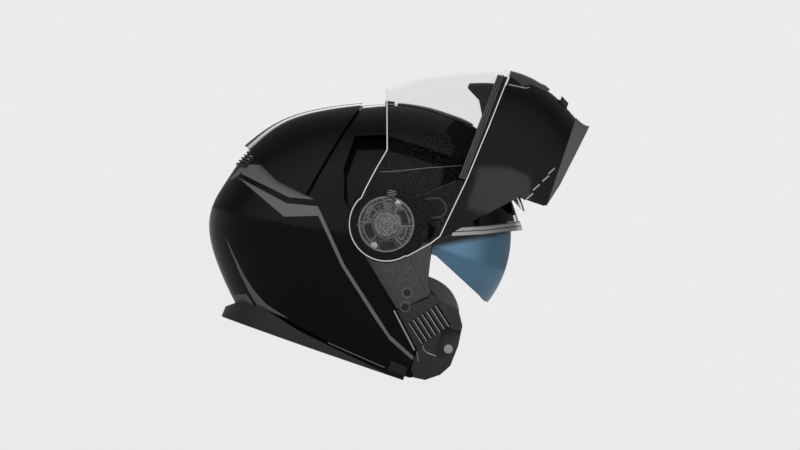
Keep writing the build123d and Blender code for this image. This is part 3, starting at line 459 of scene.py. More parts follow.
@dataclass(frozen=True)
class HelmetForm:
    """The egg-shaped family of surfaces that shell, chin bar, visor and linings follow.

    Sections are two half ellipses. Their sizes are read between the known levels on the
    root of the depth below the apex, on which they grow almost evenly. The tables are shares
    of the sizes at the top of this file, from the base up.
    """

    levels: tuple = (-0.048, 0.02, 0.12, 0.215, 0.327, 0.4585, 0.578, 0.698, 0.805, 0.893,
                     0.957, 0.989)
    fronts: tuple = (0.865, 0.883, 0.959, 0.994, 0.993, 0.927, 0.848, 0.734, 0.617, 0.491,
                     0.363, 0.269)
    rears: tuple = (0.564, 0.63, 0.785, 0.909, 0.997, 0.991, 0.942, 0.842, 0.697, 0.485,
                    0.276, 0.115)
    widths: tuple = (0.77, 0.833, 0.897, 0.944, 0.984, 1.0, 0.992, 0.929, 0.798, 0.627,
                     0.409, 0.23)
    middles: tuple = (-1, -1, -1, -1, -1, -1, -1, -0.8, -0.3, 0.3, 0.9, 1.4)
    apex: float = 1.45

    def read(self, level: np.ndarray, values: tuple, start: float) -> np.ndarray:
        """Reads one table by cubic Hermite curves: slopes are the mean of the runs beside.

        Args:
            level: heights as shares of the crown height.
            values: the table, from the base up.
            start: its value at the apex.

        Returns:
            The table's value at each level.
        """
        knots = np.sqrt(1 - spread(self.levels, 1.0))
        table = spread(values, start)
        place = np.sqrt(np.clip(1 - level, 0, knots[-1] ** 2))
        slopes = np.gradient(table, knots)
        row = np.clip(np.searchsorted(knots, place) - 1, 0, len(knots) - 2)
        width = knots[row + 1] - knots[row]
        t = (place - knots[row]) / width
        rest = 1 - t
        return (table[row] * rest * rest * (1 + 2 * t) + table[row + 1] * t * t * (3 - 2 * t)
                + (slopes[row] * rest - slopes[row + 1] * t) * t * rest * width)

    def section(self, height: np.ndarray, inset: np.ndarray) -> tuple:
        """Sizes of the section at a height of the form drawn in by an inset.

        Args:
            height: heights in millimetres.
            inset: how far the form is drawn in, in millimetres.

        Returns:
            Front reach, rear reach and half width, each from the middle, and the middle.
        """
        squeeze = 1 - inset / (CROWN_HEIGHT - BELT_HEIGHT)
        level = np.where(height > BELT_HEIGHT, BELT_HEIGHT + (height - BELT_HEIGHT) / squeeze,
                         height) / CROWN_HEIGHT
        middle = self.read(level, self.middles, self.apex) * SETBACK
        ahead = self.apex * SETBACK
        front = self.read(level, self.fronts, ahead / FRONT_REACH) * FRONT_REACH - middle
        rear = self.read(level, self.rears, -ahead / REAR_REACH) * REAR_REACH + middle
        width = self.read(level, self.widths, 0.0) * HALF_WIDTH
        return (np.maximum(front, 0) * (1 - inset / (FRONT_REACH + SETBACK)),
                np.maximum(rear, 0) * (1 - inset / (REAR_REACH - SETBACK)),
                np.maximum(width, 0) * (1 - inset / HALF_WIDTH), middle)

    def beside(self, x: np.ndarray, height: np.ndarray, inset: np.ndarray) -> np.ndarray:
        """Distance from the middle plane: y = width * sqrt(1 - ((x - middle) / reach)^2).

        Args:
            x: forward places in millimetres.
            height: heights in millimetres.
            inset: how far the form is drawn in.

        Returns:
            The half width there, 0 outside the form.
        """
        front, rear, width, middle = self.section(height, inset)
        reach = np.where(x > middle, front, rear)
        return width * np.sqrt(np.clip(1 - ((x - middle) / reach) ** 2, 0, 1))

    def around(self, turn: np.ndarray, height: np.ndarray, inset: np.ndarray) -> np.ndarray:
        """Points at an angle round the form: 0 is the front, a quarter turn the left side.

        Args:
            turn: angles in radians.
            height: heights in millimetres.
            inset: how far the form is drawn in.

        Returns:
            Points (..., 3) in millimetres.
        """
        front, rear, width, middle = self.section(height, inset)
        reach = np.where(np.cos(turn) > 0, front, rear)
        return np.stack(np.broadcast_arrays(middle + reach * np.cos(turn),
                                            width * np.sin(turn), height), axis=-1)


FORM = HelmetForm()


def raised(points: np.ndarray) -> np.ndarray:
    """Turns points given with the chin bar shut a quarter turn up about its axis.

    Args:
        points: (..., 3) in millimetres.

    Returns:
        The turned points.
    """
    x, y, z = np.moveaxis(points, -1, 0)
    return np.stack((PIVOT_HEIGHT - z, y, PIVOT_HEIGHT + x), axis=-1)


def rounded(outline: np.ndarray, passes: int = 3) -> np.ndarray:
    """Rounds a closed outline's corners by cutting each at a quarter of both its runs.

    Args:
        outline: (n, 2) corners.
        passes: how often the corners are cut.

    Returns:
        The denser outline.
    """
    for _ in range(passes):
        after = np.roll(outline, -1, axis=0)
        outline = np.stack((0.75 * outline + 0.25 * after, 0.25 * outline + 0.75 * after),
                           axis=1).reshape(-1, outline.shape[1])
    return outline


def resampled(path: np.ndarray, count: int) -> np.ndarray:
    """Points at even steps along a path.

    Args:
        path: (n, d) points.
        count: how many points come back.

    Returns:
        (count, d) points.
    """
    steps = np.linalg.norm(np.diff(path, axis=0), axis=1)
    along = np.concatenate(([0.0], np.cumsum(steps)))
    wanted = np.linspace(0, along[-1], count)
    return np.stack([np.interp(wanted, along, column) for column in path.T], axis=1)


def smoothstep(value: np.ndarray) -> np.ndarray:
    """Eases from 0 to 1: t * t * (3 - 2 * t), with t held between 0 and 1.

    Args:
        value: where on the way it is.

    Returns:
        The eased value.
    """
    t = np.clip(value, 0, 1)
    return t * t * (3 - 2 * t)


def oblong(halves: tuple, power: int, count: int) -> np.ndarray:
    """A rounded oblong: |x / half|^power + |y / half|^power = 1.

    Args:
        halves: half of both its sizes.
        power: the higher, the squarer.
        count: how many points.

    Returns:
        (count, 2) points.
    """
    angle = np.linspace(0, 2 * np.pi, count, endpoint=False)
    turned = np.stack((np.cos(angle), np.sin(angle)), axis=1)
    size = np.sum(np.abs(turned) ** power, axis=1, keepdims=True) ** (-1 / power)
    return np.array(halves) * size * turned


@dataclass
class Piece:
    """A mesh under way: grids, tubes and prisms in millimetres, then one scene object."""

    name: str
    finish: Finish
    body: str
    slot: str
    replaces: tuple[str, ...] = ()
    corners: list = field(default_factory=list)
    faces: list = field(default_factory=list)

    def grid(self, points: np.ndarray, close_rows: bool = False, close_columns: bool = False,
             capped: bool = False) -> None:
        """Adds a surface of four-sided faces between rows and columns of points.

        Args:
            points: (rows, columns, 3).
            close_rows: whether the last row joins the first.
            close_columns: whether the last column joins the first.
            capped: whether the first and the last row are filled in.
        """
        rows, columns = points.shape[:2]
        first = sum(len(part) for part in self.corners)
        self.corners.append(points.reshape(-1, 3))
        number = first + np.arange(rows * columns).reshape(rows, columns)
        row = np.arange(rows if close_rows else rows - 1)
        column = np.arange(columns if close_columns else columns - 1)
        a = number[np.ix_(row, column)]
        b = number[np.ix_(row, (column + 1) % columns)]
        c = number[np.ix_((row + 1) % rows, (column + 1) % columns)]
        d = number[np.ix_((row + 1) % rows, column)]
        self.faces += np.stack((a, b, c, d), axis=-1).reshape(-1, 4).tolist()
        if capped:
            self.faces += [number[0, ::-1].tolist(), number[-1].tolist()]

    def sweep(self, path: np.ndarray, section: np.ndarray, side: np.ndarray | None = None,
              closed: bool = False) -> None:
        """Carries a section along a path and caps open ends.

        Each point is path + section_1 * side + section_2 * (along x side), where the side
        direction is given or is the one square to the path nearest the Y axis.

        Args:
            path: (n, 3) points.
            section: (m, 2) closed outline.
            side: (n, 3) directions that the section's first value runs in.
            closed: whether the path joins up.
        """
        along = (np.roll(path, -1, axis=0) - np.roll(path, 1, axis=0) if closed
                 else np.gradient(path, axis=0))
        along /= np.linalg.norm(along, axis=1, keepdims=True)
        if side is None:
            side = np.tile((0.0, 1.0, 0.0), (len(path), 1))
            steep = np.abs(along[:, 1]) > STEEP
            side[steep] = (1.0, 0.0, 0.0)
        side = side - along * np.sum(side * along, axis=1, keepdims=True)
        side /= np.linalg.norm(side, axis=1, keepdims=True)
        other = np.cross(along, side)
        points = (path[:, None] + section[None, :, :1] * side[:, None]
                  + section[None, :, 1:] * other[:, None])
        self.grid(points, close_rows=closed, close_columns=True, capped=not closed)

    def tube(self, path: np.ndarray, radius: float, sides: int = 8,
             closed: bool = False) -> None:
        """Adds a round bar along a path.

        Args:
            path: (n, 3) points.
            radius: in millimetres.
            sides: how many sides it has.
            closed: whether the path joins up.
        """
        turn = np.linspace(0, 2 * np.pi, sides, endpoint=False)
        self.sweep(path, radius * np.stack((np.cos(turn), np.sin(turn)), axis=1), closed=closed)

    def prism(self, outline: np.ndarray, inner: float, outer: float, edge: Side,
              bevel: float = 0.0) -> None:
        """Adds a plate square to Y with a chamfered outer edge.

        Args:
            outline: (n, 2) corners as (x, z).
            inner: distance of its inner face from the middle plane.
            outer: distance of its outer face.
            edge: the side of the helmet.
            bevel: size of the chamfer.
        """
        middle = outline.mean(axis=0)
        span = np.abs(outline - middle).max()
        small = middle + (outline - middle) * (1 - bevel / span)
        rings = [(outline, inner), (outline, outer - bevel), (small, outer)] if bevel else [
            (outline, inner), (outline, outer)]
        points = np.stack([np.stack((ring[:, 0], np.full(len(ring), edge.value * level),
                                     ring[:, 1]), axis=1) for ring, level in rings])
        self.grid(points, close_columns=True, capped=True)

    def put(self, sharp_angle: float = SHARP_ANGLE) -> bpy.types.Object:
        """Makes the scene object, turns its faces outward and hangs it on its body.

        Args:
            sharp_angle: edges sharper than this stay sharp, in degrees.

        Returns:
            The new object.
        """
        mesh = bpy.data.meshes.new(self.name)
        mesh.from_pydata((np.concatenate(self.corners) * MM).tolist(), [], self.faces)
        work = bmesh.new()
        work.from_mesh(mesh)
        bmesh.ops.remove_doubles(work, verts=work.verts, dist=MERGE_DISTANCE)
        bmesh.ops.recalc_face_normals(work, faces=work.faces)
        work.to_mesh(mesh)
        work.free()
        mesh.polygons.foreach_set("use_smooth", np.ones(len(mesh.polygons), dtype=bool))
        mesh.set_sharp_from_angle(angle=math.radians(sharp_angle))
        piece = bpy.data.objects.new(self.name, mesh)
        mesh.materials.append(self.finish.build())
        bpy.context.scene.collection.objects.link(piece)
        if self.replaces:
            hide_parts(*self.replaces)
        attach(piece, self.body)
        log.info("%s: %d faces on %s", self.name, len(mesh.polygons), self.body)
        return piece


def rim_path(points: tuple, inset: float, count: int = 60, tries: int = 4000) -> np.ndarray:
    """A line over the whole front, given from the side, on the form drawn in by an inset.

    The forward place runs to the front as the sine of an even step, so that the points stay
    evenly apart where the line turns over to the other side.

    Args:
        points: (x, z) from the rear forward; the last lies in front of the form.
        inset: in millimetres.
        count: points on each side.
        tries: places at which the front of the form is looked for.

    Returns:
        (2 * count - 1, 3) points from the right side over the front to the left.
    """
    outline = np.array(points, dtype=float)
    low, high = outline[0, 0], outline[-1, 0]
    tried = np.linspace(low, high, tries)
    heights = np.interp(tried, outline[:, 0], outline[:, 1])
    high = tried[FORM.beside(tried, heights, inset) > 0].max()
    x = low + (high - low) * np.sin(np.linspace(0, np.pi / 2, count))
    z = np.interp(x, outline[:, 0], outline[:, 1])
    y = FORM.beside(x, z, inset)
    y[-1] = 0
    right = np.stack((x, -y, z), axis=1)
    left = right[-2::-1] * (1, -1, 1)
    return np.concatenate((right, left))


@dataclass
class Sided:
    """Pieces that are made alike on each side of the helmet."""

    edge: Side

    def named(self, name: str) -> str:
        """Ends a piece's name with its side.

        Args:
            name: the name without its side.

        Returns:
            The whole name.
        """
        return f"{name}_{self.edge.name.lower()}"

    def beside(self, places: np.ndarray, away: np.ndarray | float) -> np.ndarray:
        """Puts places seen from the side at a distance from the middle plane.

        Args:
            places: (..., 2) as (x, z).
            away: the distances.

        Returns:
            (..., 3) points on this side.
        """
        x, z = places[..., 0], places[..., 1]
        return np.stack((x, self.edge.value * away + 0 * x, z), axis=-1)


@dataclass
class CrownLining:
    """Comfort lining of the crown: padded knit with channels sewn from front to rear."""

    inset: float = 44.8
    thickness: float = 5.6
    floor: float = 105.4
    roof: float = 206.0
    brow_floor: float = 150.0
    brow_start: tuple[float, float] = (44.0, 154.0)
    brow_slope: float = 0.43
    step_start: float = 30.0
    step_length: float = 14.0
    channel_count: int = 10
    channel_depth: float = 0.55
    channel_power: int = 40
    fade_share: float = 0.3
    edge_share: float = 0.04
    edge_rows: int = 5
    crown_share: float = 0.07
    crown_rows: int = 56
    columns: int = 240
    passes: int = 12

    def build(self) -> None:
        """Models the lining as one closed skin.

        Its lower edge lies at the floor height and steps up to the brow in front by
        floor + (brow - floor) * smoothstep(x), found in a few passes. Thickness falls at the
        edge by a root, and along the sewn channels, which fade out at the crown, as
        1 - channel depth * |cos(count * turn / 2)|^power.
        """
        turn = np.linspace(0, 2 * np.pi, self.columns, endpoint=False)
        low = np.full(turn.shape, self.floor)
        for _ in range(self.passes):
            x = FORM.around(turn, low, self.inset)[:, 0]
            step = smoothstep((x - self.step_start) / self.step_length)
            brow = self.brow_start[1] + self.brow_slope * (x - self.brow_start[0])
            low = self.floor + (np.maximum(brow, self.brow_floor) - self.floor) * step
        rise = np.concatenate((np.linspace(0, self.edge_share, self.edge_rows),
                               np.linspace(self.crown_share, 1.0, self.crown_rows)))
        height = low + (self.roof - low) * np.sin(rise * np.pi / 2)[:, None]
        seam = np.abs(np.cos(self.channel_count * turn / 2)) ** self.channel_power
        puff = ((1 - self.channel_depth * seam[None])
                * np.sqrt(np.clip(rise / self.edge_share, 0, 1))[:, None])
        fade = np.clip((1 - rise) / self.fade_share, 0, 1)[:, None]
        puff = puff * fade + (1 - fade)
        puff[0] = 0
        around = np.broadcast_to(turn, height.shape)
        back = FORM.around(around, height, np.full(height.shape, self.inset))
        front = FORM.around(around, height, self.inset + self.thickness * puff)
        piece = Piece("comfort_lining", KNIT, "helmet", "fabric", ("comfort_liner",))
        piece.grid(np.concatenate((back[::-1], front[1:])), close_columns=True)
        piece.put(CLOTH_SHARP_ANGLE)


@dataclass
class NeckRoll:
    """A rounded pad of knit round the rear, with tapered ends."""

    inset: float = 20.2
    height: float = 15.7
    halves: tuple[float, float] = (12.4, 10.9)
    squareness: int = 4
    sides: int = 36
    rings: int = 150
    reach: float = 0.995
    taper_power: int = 8
    end_angle: float = 0.06
    tuck: float = 0.05
    tuck_count: int = 9
    tuck_power: int = 30

    def build(self) -> None:
        """Models the roll, drawn in a little at each tuck.

        The section is a rounded oblong, and both its sizes shrink at the ends by
        sqrt(1 - u^8), where u runs from nearly -1 to nearly 1 along the roll.
        """
        u = np.linspace(-self.reach, self.reach, self.rings)
        turn = np.pi + u * (np.pi / 2 - self.end_angle)
        folds = np.abs(np.sin(self.tuck_count * np.pi * u)) ** self.tuck_power
        size = (np.sqrt(1 - u ** self.taper_power) * (1 - self.tuck * folds))[:, None]
        across, up = oblong(self.halves, self.squareness, self.sides).T
        points = FORM.around(turn[:, None], self.height + size * up, self.inset + size * across)
        piece = Piece("neck_roll_cover", KNIT, "helmet", "fabric", ("neck_roll",))
        piece.grid(points, close_columns=True, capped=True)
        piece.put(CLOTH_SHARP_ANGLE)


@dataclass
class CheekPad(Sided):
    """One cheek pad: crowned, with a sewn channel and drawn-in sides."""

    inset: float = 44.8
    depth: float = 17.0
    shrink: float = 0.99
    rim: float = 0.93
    rim_depth: float = 0.8
    groove_depth: float = 0.22
    groove_place: float = 0.66
    groove_width: float = 0.03
    face_share: float = 0.9
    back_rings: int = 12
    rim_rings: int = 9
    face_rings: int = 28
    shares: tuple = ((-0.182, 0.088), (-0.182, 0.387), (0.28, 0.403), (0.4, 0.392),
                     (0.475, 0.357), (0.53, 0.3), (0.53, 0.2), (0.5, 0.136), (0.386, 0.088))

    def build(self) -> None:
        """Models the pad over its foam.

        Each ring is middle + r * (outline - middle). Depth is 1 in the crown's middle and
        the rim's depth at r = rim, less groove * exp(-((r - place) / width)^2), and the rim
        turns back to the foam on a half ellipse.
        """
        outline = np.array([(x * (FRONT_REACH if x > 0 else REAR_REACH), z * CROWN_HEIGHT)
                            for x, z in self.shares])
        outline = rounded(outline, 4)
        middle = outline.mean(axis=0)
        outline = middle + (outline - middle) * self.shrink
        turn = np.linspace(-np.pi / 2, np.pi / 2, self.rim_rings)
        face = np.linspace(self.face_share, 0, self.face_rings)
        radius = np.concatenate((np.linspace(0, self.face_share, self.back_rings),
                                 self.rim + (1 - self.rim) * np.cos(turn), face))
        groove = self.groove_depth * np.exp(-((face - self.groove_place)
                                              / self.groove_width) ** 2)
        crown = self.rim_depth + (1 - self.rim_depth) * (1 - (face / self.rim) ** 2)
        depth = np.concatenate((np.zeros(self.back_rings),
                                self.rim_depth / 2 * (1 + np.sin(turn)), crown - groove))
        places = middle + radius[:, None, None] * (outline - middle)
        away = FORM.beside(places[..., 0], places[..., 1],
                           self.inset + self.depth * depth[:, None])
        piece = Piece(self.named("cheek_pad_cover"), KNIT, "helmet", "fabric",
                      (self.named("cheek_pad"),))
        piece.grid(self.beside(places, away), close_columns=True)
        piece.put(CLOTH_SHARP_ANGLE)


@dataclass
class ChinStrap(Sided):
    """A webbing band from its rivet to the buckle."""

    middle: float = 16.0
    width: float = 22.0
    thickness: float = 1.6
    level: float = 7.0
    anchor: tuple[float, float] = (95.76, 27.1)
    ends: tuple[float, float] = (27.0, 16.0)
    bend: float = 6.0
    squareness: int = 8
    sides: int = 24
    route_count: int = 200
    softening: int = 12
    rings: int = 90
    sharp_angle: float = 50.0

    def build(self) -> None:
        """Sweeps the webbing's rounded section along its route.

        The route's bends are eased by the mean of each point and its neighbours to both sides.
        """
        end = self.ends[0] if self.edge is Side.RIGHT else self.ends[1]
        out, top = self.anchor
        route = np.array(((end, self.level), (out / 2, self.level),
                          (out - self.bend, self.level + self.bend / 2),
                          (out, self.level + 1.5 * self.bend), (out, top)))
        span = 2 * self.softening + 1
        padded = np.pad(resampled(route, self.route_count),
                        ((self.softening, self.softening), (0, 0)), mode="edge")
        eased = np.stack([np.convolve(column, np.ones(span) / span, "valid")
                          for column in padded.T], axis=1)
        away, up = resampled(np.concatenate((route[:1], eased, route[-1:])), self.rings).T
        path = np.stack((np.full(self.rings, self.middle), self.edge.value * away, up), axis=1)
        name = self.named("strap")
        piece = Piece(f"{name}_webbing", WEBBING, "helmet", "webbing", (name,))
        section = oblong((self.width / 2, self.thickness / 2), self.squareness, self.sides)
        piece.sweep(path, section, np.tile((1.0, 0.0, 0.0), (self.rings, 1)))
        piece.put(self.sharp_angle)


@dataclass
class VisorEdges:
    """Edges of the clear shield, drawn as thin bars with a painted white highlight that glows."""

    lower: tuple = ((1.9, 90.6), (60.5, 84.0), (120.0, 80.3), (200.0, 76.5))
    upper: tuple = ((62.9, 164.0), (101.7, 177.6), (118.8, 184.1), (200.0, 184.1))
    rear: tuple = ((1.9, 90.6), (-7.4, 96.9), (-26.0, 113.9))
    neck: tuple = ((11.0, 172.4), (22.4, 171.2), (41.7, 168.2), (62.9, 164.0))
    ring_angles: tuple[float, float] = (231, 66)
    inset: float = 0.2
    radius: float = 0.5
    pivot: tuple[float, float] = (-3.7, 142.0)
    end_radius: float = 34.7
    end_face: float = 120.6
    blend: float = 6.0
    ring_count: int = 60
    side_count: int = 140

    def side_line(self) -> np.ndarray:
        """The edge from the lower front corner back, round the end and forward to the top.

        Round the end it lies on the end's flat face; farther out it eases onto the form by
        the smoothstep of (distance from the pivot - end radius) / blend.

        Returns:
            (side count, 3) points of the left side, with the chin bar shut.
        """
        ring = arc(self.pivot, self.end_radius, *self.ring_angles, self.ring_count)
        line = resampled(np.concatenate((self.rear, ring, self.neck)), self.side_count)
        x, z = line.T
        step = smoothstep((np.hypot(x - self.pivot[0], z - self.pivot[1]) - self.end_radius)
                          / self.blend)
        out = FORM.beside(x, z, np.full(len(x), self.inset))
        y = self.end_face * (1 - step) + out * step
        return np.stack((x, y, z), axis=1)

    def build(self) -> None:
        """Runs thin bars along the shield's lower and upper edge and round its ends."""
        # The bars glow: painted highlights along the shield's edges
        piece = Piece("shield_edges", GLOWING_EDGE, "shield", "clear")
        for line in (self.lower, self.upper):
            piece.tube(raised(rim_path(line, self.inset)), self.radius)
        for edge in Side:
            piece.tube(raised(self.side_line() * (1, edge.value, 1)), self.radius)
        piece.put()


@dataclass
class BrowStripes:
    """Two satin silver bands moulded along the brow trim, with a dark groove between."""

    line: tuple = ((57.4, 143.4), (85.6, 154.8), (118.3, 170.6), (141.9, 181.8))
    rises: tuple = ((0.2, 3.6), (4.6, 8.0))
    inset: float = 8.3
    depth: float = 0.6

    def band(self, piece: Piece, low: float, high: float) -> None:
        """Adds a flat closed band on the form, its rows set by height and inset.

        Args:
            piece: the piece that gets it.
            low: height of its lower edge over the brow line.
            high: height of its upper edge.
        """
        rows = [rim_path(tuple((x, z + rise) for x, z in self.line), inset)
                for rise, inset in ((low, self.inset), (high, self.inset),
                                    (high, self.inset + self.depth),
                                    (low, self.inset + self.depth))]
        piece.grid(np.stack(rows, axis=1), close_columns=True, capped=True)

    def build(self) -> None:
        """Runs both bands along the brow."""
        piece = Piece("brow_bands", SILVER_PAINT_AND_HIGHLIGHT, "helmet", "chrome")
        for low, high in self.rises:
            self.band(piece, low, high)
        piece.put()


def arc(middle: tuple, radius: float, start: float, stop: float, count: int = 24) -> np.ndarray:
    """Points on an arc seen from the side.

    Args:
        middle: (x, z) of its middle.
        radius: in millimetres.
        start: first angle in degrees from forward, turning up.
        stop: last angle.
        count: how many points.

    Returns:
        (count, 2) points.
    """
    turn = np.radians(np.linspace(start, stop, count))
    return np.stack((middle[0] + radius * np.cos(turn), middle[1] + radius * np.sin(turn)), axis=1)


def on_shell(line: tuple, inset: float, edge: Side, count: int = 24) -> np.ndarray:
    """Lays a line seen from the side on the form of the head shell.

    Args:
        line: (x, z) corners.
        inset: how far the form is drawn in.
        edge: the side of the helmet.
        count: how many points come back.

    Returns:
        (count, 3) points.
    """
    places = resampled(np.array(line, dtype=float), count)
    y = FORM.beside(places[:, 0], places[:, 1], np.full(count, inset))
    return np.stack((places[:, 0], edge.value * y, places[:, 1]), axis=1)


def on_bar(line: tuple, inset: float, edge: Side, count: int = 24) -> np.ndarray:
    """Lays a line seen from the side with the chin bar raised on the chin bar's own form.

    Args:
        line: (x, z) corners with the chin bar raised.
        inset: how far the form is drawn in.
        edge: the side of the helmet.
        count: how many points come back.

    Returns:
        (count, 3) points with the chin bar raised.
    """
    shut = tuple((z - PIVOT_HEIGHT, PIVOT_HEIGHT - x) for x, z in line)
    return raised(on_shell(shut, inset, edge, count))


FLAT_BAR = np.array(((-0.5, -0.5), (0.5, -0.5), (0.5, 0.5), (-0.5, 0.5)))


@dataclass
class PivotMechanism(Sided):
    """The ratchet seen through the shield's round end: rim, windows, teeth, hub and screws.

    A row of rings holds radius, first and last angle, points and width; one of windows its
    middle angle, middle radius and span; one of hub rings radius, both angles and width.
    Angles are in degrees and sizes in millimetres.
    """

    middle: tuple[float, float] = (-4.4, 133.9)
    face: float = 117.62
    height: float = 0.26
    hub_face: float = 123.7
    rings: tuple = ((25.6, 0, 354, 64, 1.3), (21.6, 20, 262, 48, 0.7), (13.4, 0, 352, 48, 1.0))
    open_windows: tuple = ((164, 16.6, 34), (352, 17.4, 38))
    dark_windows: tuple = ((218, 17.6, 40), (42, 18.6, 38), (292, 20.6, 40))
    open_depth: float = 5.0
    dark_depth: float = 6.8
    spokes: tuple = (72, 112, 190, 246, 322, 12)
    spoke_ends: tuple[float, float] = (13.6, 24.8)
    spoke_lean: float = 4.0
    thin: float = 0.9
    frame_width: float = 0.8
    tooth_count: int = 9
    tooth_start: tuple[float, float] = (-9.0, 14.2)
    tooth_pitch: float = 2.1
    tooth_reach: tuple[float, float] = (3.4, 4.6)
    spring: tuple = ((-30.5, 124.4), (-26.5, 124.6), (-22.4, 128.6))
    spring_width: float = 0.7
    window_sink: float = 0.3
    window_rise: float = 0.2
    whole_turn: float = 350.0
    screw_offset: tuple[float, float] = (4.3, 22.6)
    screw_radius: float = 2.9
    screw_rise: float = 0.28
    cross_depth: float = 0.22
    cross_half: float = 0.16
    cross_reach: float = 0.7
    hub_rings: tuple = ((9.6, 25, 118, 1.6), (9.9, 150, 338, 0.8), (6.0, 0, 354, 0.9))
    hub_ring_height: float = 0.5
    hub_ring_rise: float = 0.2
    boss_ring: float = 3.2
    boss_radius: float = 0.8
    boss_height: float = 0.6
    boss_bevel: float = 0.2
    boss_pitch: float = 45.0

    def bar(self, piece: Piece, line: np.ndarray, width: float, closed: bool = False) -> None:
        """Adds a flat bar on the ratchet plate's face.

        Args:
            piece: the piece that gets it.
            line: (n, 2) its middle line as (x, z).
            width: its width.
            closed: whether the line joins up.
        """
        piece.sweep(self.beside(line, self.face + self.height / 2),
                    FLAT_BAR * (self.height, width), closed=closed)

    def window(self, angle: float, radius: float, span: float, depth: float) -> np.ndarray:
        """The outline of one window: two arcs one round the other.

        Args:
            angle: its middle angle in degrees.
            radius: its middle radius.
            span: its angle in degrees.
            depth: its width across.

        Returns:
            (24, 2) corners as (x, z).
        """
        low, high = angle - span / 2, angle + span / 2
        return np.concatenate((arc(self.middle, radius + depth / 2, low, high, 12),
                               arc(self.middle, radius - depth / 2, high, low, 12)))

    def plate(self) -> None:
        """Models what lies on the ratchet plate: rims, windows, spokes and the toothed rack."""
        pale = Piece(self.named("ratchet_relief"), PALE_RIB_AND_HIGHLIGHT, "chin", "smoke")
        for radius, start, stop, count, width in self.rings:
            self.bar(pale, arc(self.middle, radius, start, stop, count), width,
                     closed=stop - start > self.whole_turn)
        for row in self.open_windows:
            self.bar(pale, rounded(self.window(*row, self.open_depth), 1), self.frame_width,
                     closed=True)
        inner, outer = self.spoke_ends
        for angle in self.spokes:
            lean = angle + self.spoke_lean
            spoke = np.concatenate((arc(self.middle, inner, angle, angle, 1),
                                    arc(self.middle, outer, lean, lean, 1)))
            self.bar(pale, resampled(spoke, 6), self.thin)
        x, rise = self.tooth_start
        for number in range(self.tooth_count):
            height = self.middle[1] + rise + self.tooth_pitch * number
            reach = self.tooth_reach[number % 2]
            tooth = np.array(((x - reach, height), (x + reach, height + self.thin)))
            self.bar(pale, resampled(tooth, 5), self.thin)
        self.bar(pale, resampled(np.array(self.spring), 10), self.spring_width)
        pale.put()
        dark = Piece(self.named("ratchet_windows"), SATIN_BLACK, "chin", "matte_black")
        for row in self.dark_windows:
            dark.prism(self.window(*row, self.dark_depth), self.face - self.window_sink,
                       self.face + self.window_rise, self.edge)
        dark.put()

    def screws(self) -> None:
        """Models both screw heads: a dome rise * (1 - r^2) high with a cross cut in it."""
        piece = Piece(self.named("screw_heads"), CHROME, "chin", "chrome")
        radius = np.linspace(0, 1, 12)[:, None]
        turn = np.linspace(0, 2 * np.pi, 48, endpoint=False)[None]
        disc = np.stack((radius * np.cos(turn), radius * np.sin(turn)), axis=-1)
        cut = (np.abs(disc).min(axis=-1) < self.cross_half) & (radius < self.cross_reach)
        rise = self.screw_rise * (1 - radius ** 2) - self.cross_depth * cut
        for sign in (-1, 1):
            middle = np.array(self.middle) + sign * np.array(self.screw_offset)
            piece.grid(self.beside(middle + self.screw_radius * disc, self.face + rise),
                       close_columns=True)
        piece.put()

    def hub(self) -> None:
        """Models what is moulded on the hub cap: a bright arc and a ring of small bosses."""
        piece = Piece(self.named("hub_relief"), PALE_RIB_AND_HIGHLIGHT, "chin", "smoke")
        for radius, start, stop, width in self.hub_rings:
            line = arc(self.middle, radius, start, stop, 40)
            piece.sweep(self.beside(line, self.hub_face + self.hub_ring_rise),
                        FLAT_BAR * (self.hub_ring_height, width),
                        closed=stop - start > self.whole_turn)
        for angle in np.arange(0, 360, self.boss_pitch):
            place = arc(self.middle, self.boss_ring, angle, angle, 1)[0]
            boss = arc(tuple(place), self.boss_radius, 0, 324, 10)
            piece.prism(boss, self.hub_face, self.hub_face + self.boss_height, self.edge,
                        self.boss_bevel)
        piece.put()

    def build(self) -> None:
        """Makes the mechanism of this side."""
        self.plate()
        self.screws()
        self.hub()


@dataclass
class BarFront:
    """Small forms round the front of the raised chin bar: seal ribs, and a painted highlight line.
    """

    seal_lines: tuple[float, ...] = (86.2, 88.4, 90.6)
    seal_falls: tuple = ((60.0, 0.0), (110.0, 1.4), (165.0, 3.2), (200.0, 4.4))
    seal_inset: float = 3.9
    rib_radius: float = 0.85
    cover_line: tuple = ((62.1, 296.6), (73.4, 298.0), (78.2, 298.5), (81.4, 300.3))
    cover_inset: float = -0.6
    cover_radius: float = 0.6

    def seal(self) -> None:
        """Runs the three ribs of the visor seal round the whole front."""
        piece = Piece("seal_ribs", GREY_RUBBER, "chin", "grey_rubber")
        for level in self.seal_lines:
            line = tuple((x, level - fall) for x, fall in self.seal_falls)
            piece.tube(raised(rim_path(line, self.seal_inset)), self.rib_radius)
        piece.put()

    def cover(self) -> None:
        """Adds a light line along the lower edge of the vent cover: a painted highlight."""
        piece = Piece("vent_cover_edge", SILVER_PAINT_AND_HIGHLIGHT, "chin", "chrome")
        for edge in Side:
            piece.tube(on_bar(self.cover_line, self.cover_inset, edge, 20), self.cover_radius)
        piece.put()

    def build(self) -> None:
        """Makes both pieces."""
        self.seal()
        self.cover()


